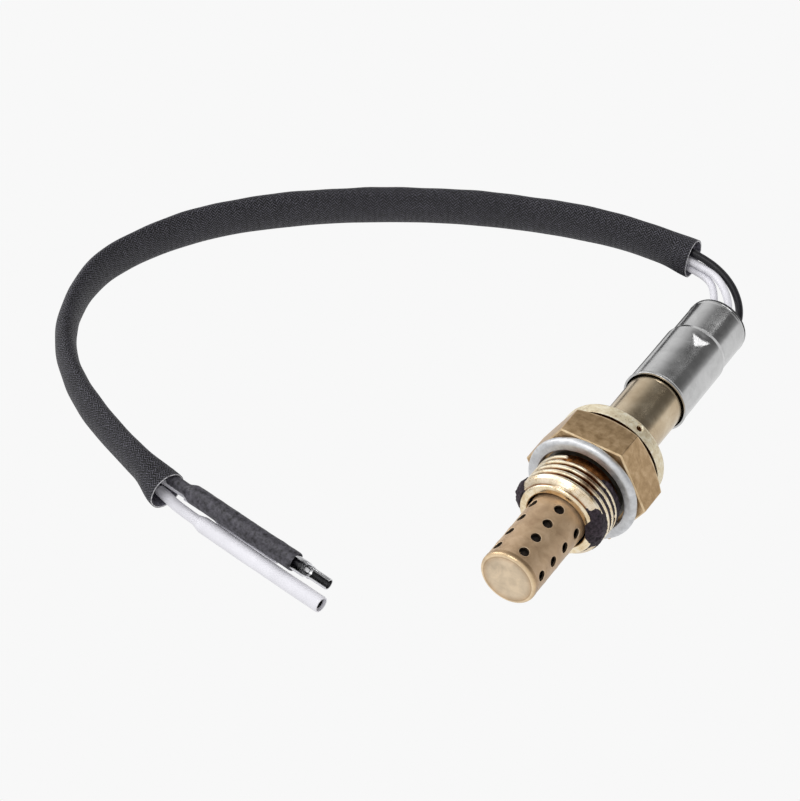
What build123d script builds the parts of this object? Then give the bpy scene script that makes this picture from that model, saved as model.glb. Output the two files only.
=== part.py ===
"""Heated exhaust oxygen sensor with an M18 thread, three flying leads and crimped splice ends.

The sensor is a thimble type.  A closed zirconia tube stands in a steel hex body, behind two nested
protection tubes.  A ceramic support tube and a disc spring press it on to its seat.  A thin sheath and
a rear shroud close the back, where a rubber grommet lets out one signal lead and two heater leads.

Every turned piece is drawn along the sensor's own axis: `s` is the distance from the tip, in
millimetres, and `r` the radius.  The finished sensor lies on the floor as it comes to rest, on the rear
edge of its collar and the rim of its shroud, tip towards -Y.  The leads run off in the floor's plane
inside a woven sleeve that stands on edge.
"""
import math
import os

from build123d import *

os.makedirs("parts", exist_ok=True)

# ---------------------------------------------------------------- driving dimensions, mm
CONTACT = 0.03            # clearance of a piece that seats in another

# hex body
THREAD_D = 18.0           # M18 x 1.5, drawn plain at its crest
BODY_FRONT = 18.0         # front lip of the body, from the tip
LIP_LENGTH = 0.9
LIP_BORE_R = 6.14
LIP_R = 7.9
LIP_ROUND = 0.7
THREAD_START = 20.1
THREAD_END = 26.7
UNDERCUT_R = 8.0
GASKET_FRONT = 27.3
GASKET_T = 2.0
GASKET_WIDTH = 2.35       # from its bore to its rim
GASKET_SHEET = 0.7
GASKET_BORE_CLEARANCE = 0.1
HEX_AF = 22.0
HEX_LENGTH = 7.8
HEX_FRONT_BEVEL = 0.5
HEX_REAR_CHAMFER_DEG = 30.0
HEX_CHAMFER_CROWN = 0.04  # how far the turned chamfer bulges past a straight cone
GROOVE_W = 0.45
GROOVE_DEPTH = 0.9        # below the collar
COLLAR_LENGTH = 3.45
COLLAR_R = 10.9
COLLAR_REAR_ROUND = 1.1
COLLAR_FRONT_ROUND = 0.35
DIMPLE_R = 0.75
DIMPLE_DEPTH = 0.4
DIMPLE_ANGLE = 30.0       # from the top of the collar, towards +X
DIMPLE_FROM_GROOVE = 1.4
CRIMP_LIP = 1.7           # thickness of the collar's lip behind the sheath's flange

# protection tubes
TUBE_R = 5.7
TUBE_WALL = 0.5
TUBE_END_ROUND = 1.2
GAS_HOLE_D = 2.05
GAS_ROWS = 4
GAS_ROW_FIRST = 2.95
GAS_ROW_PITCH = 4.3
GAS_COLUMNS = 6
GAS_COLUMN_ANGLE = 17.0   # of the first column, from the top
TUBE_FLANGE_R = 6.95
TUBE_FLANGE_T = 0.5
INNER_TUBE_R = 4.6
INNER_TUBE_WALL = 0.4
INNER_TUBE_FRONT = 1.5
INNER_HOLE_D = 1.7
INNER_ROWS = 3

# sensing element, seal and supports
SEAT_BORE_R = 4.9
SEAT_START = 26.2         # where the 45 degree seat leaves the bore
BODY_BORE_R = 7.35
SEAL_T = 0.4
SEAL_FRONT_MARGIN = 0.35  # of the washer on its seat, at the bore and at the wall
SEAL_REAR_MARGIN = 0.25
THIMBLE_TIP = 4.4
THIMBLE_TIP_R = 2.6
THIMBLE_ROOT_R = 3.6
THIMBLE_ROOT_LENGTH = 1.2
THIMBLE_SEAT_OVERLAP = 0.5
THIMBLE_REAR_R = 3.65
THIMBLE_CLEARANCE = 0.15
THIMBLE_ROUND = 0.4
THIMBLE_FLANGE_END = 30.4
THIMBLE_END = 44.0
HEATER_R = 1.5
HEATER_CLEARANCE = 0.1
HEATER_TIP = 7.6
TALC_LENGTH = 2.2
TALC_CHAMFER = 0.45
SUPPORT_STEP = 38.0       # where the support tube narrows
SUPPORT_BORE_R = 3.85
SUPPORT_END = 56.0
CERAMIC_ROUND = 0.3
RETAINING_T = 0.6
INSULATOR_LENGTH = 6.0
INSULATOR_POCKET = 3.0
SPRING_T = 0.4
SPRING_HEIGHT = 1.2
SPRING_BORE_R = 4.2
SPRING_FLAT = 0.3
RING_T = 0.4
RING_CLEARANCE = 0.3      # of the signal contact's ring round the heater
RING_MARGIN = 0.1         # inside the thimble's rim
STRIP_W = 1.4
STRIP_T = 0.3
FINGER_LENGTH = 4.0
FINGER_ROOT = 1.0         # of the finger, inside the support tube's rear end
FINGER_TIP = 0.6
FINGER_PAD = 0.8
CONTACT_RISE = 8.0        # of a strip, from the insulator to its crimp
CRIMP_LENGTH = 5.0
LEAD_IN_CRIMP = 4.0

# sheath and shroud
SHEATH_R = 5.97
SHEATH_WALL = 0.45
SHEATH_FLANGE_T = 0.5
SHEATH_LIP_T = 0.5
SHEATH_LIP_R = 4.4
SHEATH_LIP_ROUND = 0.4
SHEATH_IN_SHROUD = 6.7
SHROUD_WALL = 0.55
SKIRT_R = 7.17
SKIRT_STRAIGHT = 0.5
SKIRT_LENGTH = 2.6
SKIRT_ROUND = 1.0
SKIRT_SWEEP = 4.0
SHOULDER_LENGTH = 1.0
SHOULDER_ROUND = 0.8
SHROUD_REAR_R = 6.2
SHROUD_REAR_LENGTH = 8.6
SHROUD_RIM_ROUND = 0.44

# grommet and leads
GROMMET_FROM_CRIMP = 1.5
GROMMET_LENGTH = 6.9
GROMMET_ROUND = 0.5
GROMMET_FLANGE_T = 0.5
GROMMET_FLANGE_R = 5.95
LEAD_D = 1.55
LEAD_CIRCLE_R = 2.7
LEAD_ANGLE = {"black_wire": 140.0, "white_wire_a": 260.0, "white_wire_b": 20.0}
LEAD_STRAIGHT = 2.4       # from the grommet to the first corner of a lead
LEAD_EXIT_RADIUS = 7.75   # bend there

# woven sleeve, an oval on edge that opens at its two mouths
SLEEVE_W = 4.6
SLEEVE_H = 9.2
SLEEVE_WALL = 0.5
NEAR_MOUTH = (7.2, 8.8)   # width and height
FAR_MOUTH = (8.0, 8.0)
NEAR_FLARE = 5.8          # length over which a mouth opens
FAR_FLARE = 8.2

# shrink tubes and splice terminals
SHRINK = {                # radii; `corners` of the lead's route lie in the narrow part
    "black_wire": {"narrow": 1.2, "wide": 1.95, "corners": 0, "wide_at": 8.8},
    "white_wire_a": {"narrow": 1.1, "wide": 1.65, "corners": 2, "wide_at": 4.2},
    "white_wire_b": {"narrow": 1.1, "wide": 1.65, "corners": 1, "wide_at": 4.2},
}
SHRINK_WALL = 0.4         # where it is wide
SHRINK_TAPER = 1.0
TERMINAL_SHEET = 0.2
WING_LENGTH = 3.0
NECK_LENGTH = 0.9
NECK_GROWTH = 0.2         # of the neck over the barrel, at most
BARREL_LENGTH = 4.35
BARREL_R = 1.15
BARREL_SEAM = 1.0         # left open where the sheet's edges don't meet
OPEN_WING_R = 1.5         # wings as they come
OPEN_WING_GAP = 2.2
SHUT_WING_GAP = 0.3       # wings rolled on their lead
TERMINALS = {             # how far past its shrink tube each one reaches, and its turn from straight up
    "black_wire": {"reach": 8.3, "open": True, "turn": 40.0},
    "white_wire_a": {"reach": -0.4, "open": False, "turn": 0.0},
    "white_wire_b": {"reach": -0.4, "open": False, "turn": 0.0},
}
LEAD_IN_WINGS = 2.1

# paste left in the thread, flush with its crests
PASTE_DEPTH = 0.35
PASTE_FRONT = 0.2         # behind the start of the full thread
PASTE_LONG = 6.1
PASTE_SHORT = 1.7
PASTE_PATCHES = ((60.0, 150.0, PASTE_LONG), (-98.0, -64.0, PASTE_SHORT))   # from, to, length

# ---------------------------------------------------------------- routes of the leads, row frame, mm
SLEEVE_Z = SLEEVE_H / 2
SLEEVE_ROUTE = [
    (-13.4, 56.8), (-24.5, 56.8), (-36.5, 54.4), (-50.0, 49.9), (-63.5, 43.9), (-77.5, 35.8),
    (-90.5, 26.4), (-102.5, 15.2), (-111.0, 2.0), (-114.9, -11.0), (-110.4, -26.5),
    (-100.0, -36.8), (-84.5, -44.3), (-69.9, -49.0),
]
LEAD_Z = {"black_wire": 6.5, "white_wire_b": 4.6, "white_wire_a": 2.7}
LEAD_NEAR = {
    "black_wire": [(1.2, 49.9, 4.7), (-2.6, 54.3, 6.0), (-10.5, 56.1, 6.9)],
    "white_wire_b": [(-5.6, 53.5, 6.0), (-12.6, 55.5, 4.9)],
    "white_wire_a": [(-4.3, 48.9, 5.0), (-7.9, 54.0, 3.8), (-14.2, 55.7, 2.8)],
}
LEAD_FAR = {
    "black_wire": [(-79.8, -45.4, 6.2), (-73.5, -46.7, 5.2), (-39.2, -51.6, 5.07)],
    "white_wire_a": [(-78.2, -46.8, 2.1), (-71.0, -48.6, 2.1), (-65.3, -50.4, 1.75), (-31.3, -55.4, 1.65)],
    "white_wire_b": [(-78.5, -46.1, 4.2), (-71.5, -46.9, 3.3), (-63.0, -46.95, 1.7), (-44.0, -49.65, 1.65)],
}

# ---------------------------------------------------------------- stations that follow from the above
THREAD_R = THREAD_D / 2
LEAD_R = LEAD_D / 2
GASKET_R = THREAD_R + GASKET_BORE_CLEARANCE + GASKET_WIDTH
HEX_FRONT = GASKET_FRONT + GASKET_T
HEX_REAR = HEX_FRONT + HEX_LENGTH
COLLAR_FRONT = HEX_REAR + GROOVE_W
COLLAR_REAR = COLLAR_FRONT + COLLAR_LENGTH
GROOVE_R = COLLAR_R - GROOVE_DEPTH
TUBE_FLANGE_AT = BODY_FRONT + LIP_LENGTH
INNER_FLANGE_AT = TUBE_FLANGE_AT + TUBE_FLANGE_T
TALC_END = THIMBLE_FLANGE_END + TALC_LENGTH
SHEATH_FLANGE_AT = SUPPORT_STEP + RETAINING_T
SHEATH_FLANGE_END = SHEATH_FLANGE_AT + SHEATH_FLANGE_T
INSULATOR_END = SUPPORT_END + INSULATOR_LENGTH
SHEATH_END = INSULATOR_END + SPRING_HEIGHT + SHEATH_LIP_T
SHEATH_BORE_R = SHEATH_R - SHEATH_WALL
SUPPORT_R = SHEATH_BORE_R - CONTACT
CRIMP_FRONT = INSULATOR_END + CONTACT_RISE
GROMMET_FRONT = CRIMP_FRONT + CRIMP_LENGTH + GROMMET_FROM_CRIMP
SHROUD_FRONT = SHEATH_END - SHEATH_IN_SHROUD
SHROUD_END = GROMMET_FRONT + GROMMET_LENGTH
SHOULDER_AT = SHROUD_END - SHROUD_REAR_LENGTH - SHOULDER_LENGTH
SHROUD_R = SHEATH_R + CONTACT + SHROUD_WALL
GROMMET_R = SHROUD_REAR_R - SHROUD_WALL - CONTACT
GROMMET_END = SHROUD_END + GROMMET_FLANGE_T
TERMINAL_LENGTH = WING_LENGTH + NECK_LENGTH + BARREL_LENGTH


# ---------------------------------------------------------------- helpers
def turned(profile):
    """A solid of revolution about the sensor axis from (r, s) corners; a third number rounds one."""
    face = make_face(Polyline([(corner[0], 0, corner[1]) for corner in profile], close=True)).face()
    for r, s, radius in (corner for corner in profile if len(corner) == 3):
        sharp = min(face.vertices(), key=lambda v: (v.X - r) ** 2 + (v.Z - s) ** 2)
        face = face.fillet_2d(radius, [sharp])
    return revolve(face, axis=Axis.Z)


def around(angle, r, s):
    """A point of the local frame at an angle from the top towards +X (local -Y is the top)."""
    a = math.radians(angle)
    return (r * math.sin(a), -r * math.cos(a), s)


def radial_drill(diameter, angle, s, reach):
    """A cylinder that points outwards from the axis."""
    drill = Cylinder(diameter / 2, reach, align=(Align.CENTER, Align.CENTER, Align.MIN))
    return Location((0, 0, s)) * Rot(0, 0, angle) * Rot(90, 0, 0) * drill


def strip(profile, width, angle):
    """A bent flat strip: its edge-on outline in (r, s), given a width and turned to an angle."""
    face = make_face(Polyline([(0, -r, s) for r, s in profile], close=True))
    solid = extrude(face, width / 2, dir=(1, 0, 0), both=True)
    return Rot(0, 0, angle) * solid


def turns(points):
    """The turn of a route at each of its inner corners, in degrees."""
    p = [Vector(*q) for q in points]
    return [(b - a).get_angle(c - b) for a, b, c in zip(p, p[1:], p[2:])]


def corner_radii(points):
    """The largest arc that two runs of a route allow, at each of its inner corners."""
    p = [Vector(*q) for q in points]
    return [0.45 * min((b - a).length, (c - b).length) / math.tan(math.radians(turn) / 2)
            for a, b, c, turn in zip(p, p[1:], p[2:], turns(points))]


def along(start, end, distance):
    """The point at a distance from the start of a run."""
    a, b = Vector(*start), Vector(*end)
    return a + (b - a).normalized() * distance


def run_frame(start, end, distance):
    """A location on a run: its z along the run, its y as near as can be to straight up."""
    a, b = Vector(*start), Vector(*end)
    run = (b - a).normalized()
    side = run.cross(Vector(0, 0, 1)).normalized()
    return Plane(origin=a + run * distance, x_dir=side * -1, z_dir=run).location


def swept_tube(path, outer_r, inner_r=0.0):
    """A round tube along a path of runs and arcs."""
    plane = Plane(origin=path @ 0, z_dir=path % 0)
    section = plane * Circle(outer_r)
    if inner_r:
        section -= plane * Circle(inner_r)
    return sweep(section, path=path)


# ---------------------------------------------------------------- the body and what closes it
def hex_body():
    outer = [
        (LIP_BORE_R, BODY_FRONT, LIP_ROUND / 2), (LIP_R, BODY_FRONT, LIP_ROUND),
        (LIP_R, THREAD_START - (THREAD_R - LIP_R)), (THREAD_R, THREAD_START), (THREAD_R, THREAD_END),
        (UNDERCUT_R, THREAD_END), (UNDERCUT_R, HEX_FRONT), (HEX_AF, HEX_FRONT), (HEX_AF, HEX_REAR),
        (GROOVE_R, HEX_REAR), (GROOVE_R, COLLAR_FRONT), (COLLAR_R, COLLAR_FRONT, COLLAR_FRONT_ROUND),
        (COLLAR_R, COLLAR_REAR, COLLAR_REAR_ROUND), (SHEATH_R + CONTACT, COLLAR_REAR),
    ]
    lip_inside = SHEATH_FLANGE_END
    inner = [
        (SHEATH_R + CONTACT, lip_inside), (BODY_BORE_R, lip_inside),
        (BODY_BORE_R, SEAT_START + BODY_BORE_R - SEAT_BORE_R), (SEAT_BORE_R, SEAT_START),
        (SEAT_BORE_R, INNER_FLANGE_AT + TUBE_FLANGE_T),
        (TUBE_FLANGE_R + CONTACT, INNER_FLANGE_AT + TUBE_FLANGE_T),
        (TUBE_FLANGE_R + CONTACT, TUBE_FLANGE_AT), (LIP_BORE_R, TUBE_FLANGE_AT),
    ]
    blank = turned(outer + inner)

    corner_r = HEX_AF / math.sqrt(3)
    prism = Location((0, 0, HEX_FRONT)) * extrude(RegularPolygon(corner_r, 6), HEX_LENGTH)
    front_edges = prism.edges().group_by(Axis.Z)[0]
    prism = chamfer(front_edges, HEX_FRONT_BEVEL)
    slope = math.radians(HEX_REAR_CHAMFER_DEG)
    low = (corner_r, 0, HEX_REAR - (corner_r - HEX_AF / 2) * math.tan(slope))
    high = (HEX_AF / 2, 0, HEX_REAR)
    crest = ((low[0] + high[0]) / 2 + HEX_CHAMFER_CROWN * math.sin(slope), 0,
             (low[2] + high[2]) / 2 + HEX_CHAMFER_CROWN * math.cos(slope))
    outline = Polyline(high, (0, 0, HEX_REAR), (0, 0, HEX_FRONT), (corner_r, 0, HEX_FRONT), low)
    chamfered = revolve(make_face(outline + ThreePointArc(low, crest, high)), axis=Axis.Z)
    past_hex = Location((0, 0, HEX_FRONT)) * (
        Cylinder(HEX_AF * 2, HEX_LENGTH, align=(Align.CENTER, Align.CENTER, Align.MIN)))
    body = blank - (past_hex - prism.intersect(chamfered))
    dimple_at = around(DIMPLE_ANGLE, COLLAR_R + DIMPLE_R - DIMPLE_DEPTH, COLLAR_FRONT + DIMPLE_FROM_GROOVE)
    pockets = [solid for patch in PASTE_PATCHES for solid in paste_patch(*patch)]
    return body - Location(dimple_at) * Sphere(DIMPLE_R) - pockets


def sealing_gasket():
    """A ring folded from sheet: two layers joined by the bend at its outside."""
    bore = THREAD_R + GASKET_BORE_CLEARANCE
    bend = GASKET_T / 2
    ring = turned([(bore, 0), (GASKET_R, 0, bend * 0.98), (GASKET_R, GASKET_T, bend * 0.98),
                   (bore, GASKET_T), (bore, GASKET_T - GASKET_SHEET),
                   (GASKET_R - bend, GASKET_T - GASKET_SHEET), (GASKET_R - bend, GASKET_SHEET),
                   (bore, GASKET_SHEET)])
    return Location((0, 0, GASKET_FRONT)) * ring


def paste_patch(start, end, length):
    """A sector of a shallow ring in the surface of the thread, between two angles."""
    floor, front = THREAD_R - PASTE_DEPTH, THREAD_START + PASTE_FRONT
    ring = turned([(floor, front), (THREAD_R, front), (THREAD_R, front + length), (floor, front + length)])
    steps = 4
    fan = [around(start + (end - start) * step / steps, THREAD_D, 0) for step in range(steps + 1)]
    wedge = extrude(make_face(Polyline((0, 0, 0), *fan, close=True)), SHROUD_END, dir=(0, 0, 1))
    return ring.intersect(wedge).solids()


def anti_seize_paste():
    return Compound(children=[solid for patch in PASTE_PATCHES for solid in paste_patch(*patch)])


# ---------------------------------------------------------------- protection tubes and element
def outer_protection_tube():
    bore = TUBE_R - TUBE_WALL
    tube = turned(
        [(0, 0), (TUBE_R, 0, TUBE_END_ROUND), (TUBE_R, TUBE_FLANGE_AT), (TUBE_FLANGE_R, TUBE_FLANGE_AT),
         (TUBE_FLANGE_R, INNER_FLANGE_AT), (bore, INNER_FLANGE_AT),
         (bore, TUBE_WALL, TUBE_END_ROUND - TUBE_WALL), (0, TUBE_WALL)])
    drills = [
        radial_drill(GAS_HOLE_D, GAS_COLUMN_ANGLE + 360 / GAS_COLUMNS * column,
                     GAS_ROW_FIRST + GAS_ROW_PITCH * row, TUBE_R * 2)
        for column in range(GAS_COLUMNS) for row in range(GAS_ROWS)
    ]
    return tube - drills


def inner_protection_tube():
    bore = INNER_TUBE_R - INNER_TUBE_WALL
    flange_end = INNER_FLANGE_AT + TUBE_FLANGE_T
    tube = turned(
        [(0, INNER_TUBE_FRONT), (INNER_TUBE_R, INNER_TUBE_FRONT, TUBE_END_ROUND),
         (INNER_TUBE_R, INNER_FLANGE_AT), (TUBE_FLANGE_R, INNER_FLANGE_AT), (TUBE_FLANGE_R, flange_end),
         (bore, flange_end), (bore, INNER_TUBE_FRONT + INNER_TUBE_WALL, TUBE_END_ROUND - INNER_TUBE_WALL),
         (0, INNER_TUBE_FRONT + INNER_TUBE_WALL)])
    half = 180 / GAS_COLUMNS
    drills = [
        radial_drill(INNER_HOLE_D, GAS_COLUMN_ANGLE + half + 2 * half * column,
                     GAS_ROW_FIRST + GAS_ROW_PITCH * (row + 0.5), TUBE_R * 2)
        for column in range(GAS_COLUMNS) for row in range(INNER_ROWS)
    ]
    return tube - drills


def seat_s(r, lift=0.0):
    """Station of the 45 degree seat at a radius, lifted square to its face."""
    return SEAT_START + (r - SEAT_BORE_R) + lift * math.sqrt(2)


def element_seal_washer():
    low, high = SEAT_BORE_R + SEAL_FRONT_MARGIN, BODY_BORE_R - SEAL_REAR_MARGIN
    return turned([(low, seat_s(low)), (high, seat_s(high)), (high, seat_s(high, SEAL_T)),
                   (low, seat_s(low, SEAL_T))])


def zirconia_thimble():
    bore = HEATER_R + HEATER_CLEARANCE
    flange_r = BODY_BORE_R - THIMBLE_CLEARANCE
    waist = SEAT_BORE_R - THIMBLE_SEAT_OVERLAP
    return turned(
        [(0, THIMBLE_TIP), (THIMBLE_TIP_R, THIMBLE_TIP, THIMBLE_TIP_R * 0.9),
         (THIMBLE_ROOT_R, seat_s(waist, SEAL_T) - THIMBLE_ROOT_LENGTH), (waist, seat_s(waist, SEAL_T)),
         (flange_r, seat_s(flange_r, SEAL_T)), (flange_r, THIMBLE_FLANGE_END),
         (THIMBLE_REAR_R, THIMBLE_FLANGE_END, THIMBLE_ROUND), (THIMBLE_REAR_R, THIMBLE_END),
         (bore, THIMBLE_END), (bore, HEATER_TIP), (0, HEATER_TIP)])


def talc_ring():
    bore = THIMBLE_REAR_R + CONTACT
    return turned([(bore, THIMBLE_FLANGE_END + TALC_CHAMFER), (bore + TALC_CHAMFER, THIMBLE_FLANGE_END),
                   (BODY_BORE_R, THIMBLE_FLANGE_END), (BODY_BORE_R, TALC_END), (bore, TALC_END)])


def ceramic_support_tube():
    wide = BODY_BORE_R - CONTACT
    return turned([(SUPPORT_BORE_R, TALC_END), (wide, TALC_END), (wide, SUPPORT_STEP, CERAMIC_ROUND),
                   (SUPPORT_R, SUPPORT_STEP), (SUPPORT_R, SUPPORT_END, CERAMIC_ROUND),
                   (SUPPORT_BORE_R, SUPPORT_END)])


def retaining_ring():
    return turned([(SUPPORT_R + CONTACT, SUPPORT_STEP), (BODY_BORE_R - CONTACT, SUPPORT_STEP),
                   (BODY_BORE_R - CONTACT, SHEATH_FLANGE_AT), (SUPPORT_R + CONTACT, SHEATH_FLANGE_AT)])


def heater_rod():
    insulator_floor = SUPPORT_END + INSULATOR_POCKET
    return turned([(0, HEATER_TIP), (HEATER_R, HEATER_TIP, HEATER_R * 0.6), (HEATER_R, insulator_floor),
                   (0, insulator_floor)])


def terminal_insulator():
    """Ceramic plug with a pocket for the heater and a slot for each contact strip."""
    pocket_r = HEATER_R + CONTACT
    plug = turned([(pocket_r, SUPPORT_END), (SUPPORT_R, SUPPORT_END),
                   (SUPPORT_R, INSULATOR_END, CERAMIC_ROUND), (0, INSULATOR_END),
                   (0, SUPPORT_END + INSULATOR_POCKET), (pocket_r, SUPPORT_END + INSULATOR_POCKET)])
    for angle in LEAD_ANGLE.values():
        plug -= strip(strip_outline(SUPPORT_END, INSULATOR_END, CONTACT), STRIP_W + 2 * CONTACT, angle)
    return plug


def disc_spring():
    rim = SUPPORT_R - 2 * CONTACT
    low, high = INSULATOR_END, INSULATOR_END + SPRING_HEIGHT
    return turned([(SPRING_BORE_R, high - SPRING_T), (rim, low), (rim, low + SPRING_T),
                   (SPRING_BORE_R + SPRING_FLAT, high), (SPRING_BORE_R, high)])


# ---------------------------------------------------------------- contacts
def strip_outline(low, high, grow=0.0):
    half = STRIP_T / 2 + grow
    return [(LEAD_CIRCLE_R - half, low), (LEAD_CIRCLE_R + half, low),
            (LEAD_CIRCLE_R + half, high), (LEAD_CIRCLE_R - half, high)]


def crimp_barrel(angle):
    """The end of a contact, rolled round the bared and the covered end of its lead."""
    shell_r = LEAD_R + STRIP_T
    shell = Cylinder(shell_r, CRIMP_LENGTH, align=(Align.CENTER, Align.CENTER, Align.MIN))
    shell -= Location((0, 0, CRIMP_LENGTH - LEAD_IN_CRIMP)) * (
        Cylinder(LEAD_R, CRIMP_LENGTH, align=(Align.CENTER, Align.CENTER, Align.MIN)))
    return Location(around(angle, LEAD_CIRCLE_R, CRIMP_FRONT)) * shell


def heater_contact(angle):
    """A strip whose bent finger presses on the heater rod."""
    root = SUPPORT_END - FINGER_ROOT
    inner, outer = LEAD_CIRCLE_R - STRIP_T / 2, LEAD_CIRCLE_R + STRIP_T / 2
    tip = root - FINGER_LENGTH
    outline = [(inner, CRIMP_FRONT), (outer, CRIMP_FRONT), (outer, root),
               (HEATER_R + STRIP_T, tip + FINGER_TIP), (HEATER_R + STRIP_T, tip), (HEATER_R, tip),
               (HEATER_R, tip + FINGER_PAD), (inner, root + STRIP_T / 3)]
    return strip(outline, STRIP_W, angle) + crimp_barrel(angle)


def signal_contact(angle):
    """A ring on the rear rim of the thimble, with its strip."""
    inner, outer = HEATER_R + RING_CLEARANCE, THIMBLE_REAR_R - RING_MARGIN
    ring = turned([(inner, THIMBLE_END), (outer, THIMBLE_END), (outer, THIMBLE_END + RING_T),
                   (inner, THIMBLE_END + RING_T)])
    rise = strip(strip_outline(THIMBLE_END + RING_T / 2, CRIMP_FRONT), STRIP_W, angle)
    return ring + rise + crimp_barrel(angle)


# ---------------------------------------------------------------- sheath, shroud and grommet
def sheath_tube():
    return turned([
        (SHEATH_BORE_R, SHEATH_FLANGE_AT), (BODY_BORE_R - CONTACT, SHEATH_FLANGE_AT),
        (BODY_BORE_R - CONTACT, SHEATH_FLANGE_END), (SHEATH_R, SHEATH_FLANGE_END),
        (SHEATH_R, SHEATH_END, SHEATH_LIP_ROUND), (SHEATH_LIP_R, SHEATH_END),
        (SHEATH_LIP_R, SHEATH_END - SHEATH_LIP_T), (SHEATH_BORE_R, SHEATH_END - SHEATH_LIP_T)])


def rear_shroud():
    """A drawn shell: flared skirt, barrel, small shoulder and the part crimped on the grommet."""
    flare_at, skirt_end = SHROUD_FRONT + SKIRT_STRAIGHT, SHROUD_FRONT + SKIRT_LENGTH
    step_end = SHOULDER_AT + SHOULDER_LENGTH
    wall = SHROUD_WALL
    outside = [(SKIRT_R, SHROUD_FRONT), (SKIRT_R, flare_at, SKIRT_ROUND), (SHROUD_R, skirt_end, SKIRT_SWEEP),
               (SHROUD_R, SHOULDER_AT, SHOULDER_ROUND), (SHROUD_REAR_R, step_end, SHOULDER_ROUND),
               (SHROUD_REAR_R, SHROUD_END, SHROUD_RIM_ROUND)]
    inside = [(SHROUD_REAR_R - wall, SHROUD_END), (SHROUD_REAR_R - wall, step_end),
              (SHROUD_R - wall, SHOULDER_AT), (SHROUD_R - wall, skirt_end),
              (SKIRT_R - wall, flare_at), (SKIRT_R - wall, SHROUD_FRONT)]
    return turned(outside + inside)


def grommet():
    plug = turned([(0, GROMMET_FRONT), (GROMMET_R, GROMMET_FRONT, GROMMET_ROUND), (GROMMET_R, SHROUD_END),
                   (GROMMET_FLANGE_R, SHROUD_END), (GROMMET_FLANGE_R, GROMMET_END, GROMMET_FLANGE_T * 0.8),
                   (0, GROMMET_END)])
    for angle in LEAD_ANGLE.values():
        hole = Cylinder(LEAD_R, GROMMET_END, align=(Align.CENTER, Align.CENTER, Align.MIN))
        plug -= Location(around(angle, LEAD_CIRCLE_R, SUPPORT_END)) * hole
    return plug


# ---------------------------------------------------------------- how the sensor lies
def resting_location():
    """Turn the axis to +Y and let the collar's rear edge and the shroud's rim touch the floor."""
    collar = (COLLAR_REAR - COLLAR_REAR_ROUND, COLLAR_R - COLLAR_REAR_ROUND, COLLAR_REAR_ROUND)
    rim = (SHROUD_END - SHROUD_RIM_ROUND, SHROUD_REAR_R - SHROUD_RIM_ROUND, SHROUD_RIM_ROUND)
    reach = math.hypot(rim[0] - collar[0], collar[1] - rim[1])
    tilt = (math.atan2(collar[1] - rim[1], rim[0] - collar[0])
            + math.asin((collar[2] - rim[2]) / reach))
    height = collar[2] + collar[1] * math.cos(tilt) + collar[0] * math.sin(tilt)
    return Location((0, 0, height)) * Rot(-90 - math.degrees(tilt), 0, 0)


# ---------------------------------------------------------------- leads, sleeve and splice ends
def woven_sleeve():
    points = [(x, y, SLEEVE_Z) for x, y in SLEEVE_ROUTE]
    radii = corner_radii(points)
    print("sleeve radii", [round(r) for r in radii])
    start, end = along(points[0], points[1], NEAR_FLARE), along(points[-1], points[-2], FAR_FLARE)
    path = FilletPolyline(start, *points[1:-1], end, radius=radii)

    def ring(at, run, width, height, centre_z):
        plane = Plane(origin=(at.X, at.Y, centre_z), x_dir=run.cross(Vector(0, 0, 1)), z_dir=run)
        bore = Ellipse(width / 2 - SLEEVE_WALL, height / 2 - SLEEVE_WALL)
        return plane * (Ellipse(width / 2, height / 2) - bore)

    def mouth(at, inner_at, width, height):
        """The last stretch, which opens from the oval to the mouth."""
        run = (at - inner_at).normalized()
        side = run.cross(Vector(0, 0, 1))
        skins = []
        for wall in (0, SLEEVE_WALL):
            narrow = Plane(origin=inner_at, x_dir=side, z_dir=run)
            wide = Plane(origin=(at.X, at.Y, height / 2), x_dir=side, z_dir=run)
            skins.append(loft([narrow * Ellipse(SLEEVE_W / 2 - wall, SLEEVE_H / 2 - wall),
                               wide * Ellipse(width / 2 - wall, height / 2 - wall)]))
        return skins[0] - skins[1]

    first, last = Vector(*points[0]), Vector(*points[-1])
    middle = sweep(ring(path @ 0, path % 0, SLEEVE_W, SLEEVE_H, SLEEVE_Z), path=path)
    return mouth(first, start, *NEAR_MOUTH) + middle + mouth(last, end, *FAR_MOUTH)


def lead_route(name, place):
    """Corner points of a lead, from inside its contact to inside its splice terminal."""
    def local(s):
        return (place * Location(around(LEAD_ANGLE[name], LEAD_CIRCLE_R, s))).position

    inside = local(CRIMP_FRONT + CRIMP_LENGTH - LEAD_IN_CRIMP)
    outside = local(GROMMET_END + LEAD_STRAIGHT)
    sleeve = [(x, y, LEAD_Z[name]) for x, y in SLEEVE_ROUTE[1:-1]]
    far = LEAD_FAR[name]
    bare_end = TERMINALS[name]["reach"] - TERMINAL_LENGTH + LEAD_IN_WINGS
    run = (Vector(*far[-1]) - Vector(*far[-2])).length
    end = along(far[-2], far[-1], run + bare_end)
    points = [inside, outside] + LEAD_NEAR[name] + sleeve + far[:-1] + [end]
    return [tuple(Vector(*p)) if not isinstance(p, Vector) else tuple(p) for p in points]


def lead_radii(points):
    radii = corner_radii(points)
    return [min(radii[0], LEAD_EXIT_RADIUS)] + radii[1:]


def lead(name, place):
    points = lead_route(name, place)
    radii = lead_radii(points)
    path = FilletPolyline(*points, radius=radii)
    tube = swept_tube(path, LEAD_R)
    ratio = tube.volume / (math.pi * LEAD_R ** 2 * path.length)
    print(name, "length", round(path.length, 1), "volume ratio", round(ratio, 4),
          "radii", [round(r, 1) for r in radii])
    print("   starts", [tuple(round(c, 2) for c in p) for p in points[:2]], "ends",
          tuple(round(c, 2) for c in points[-1]))
    return tube


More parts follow.
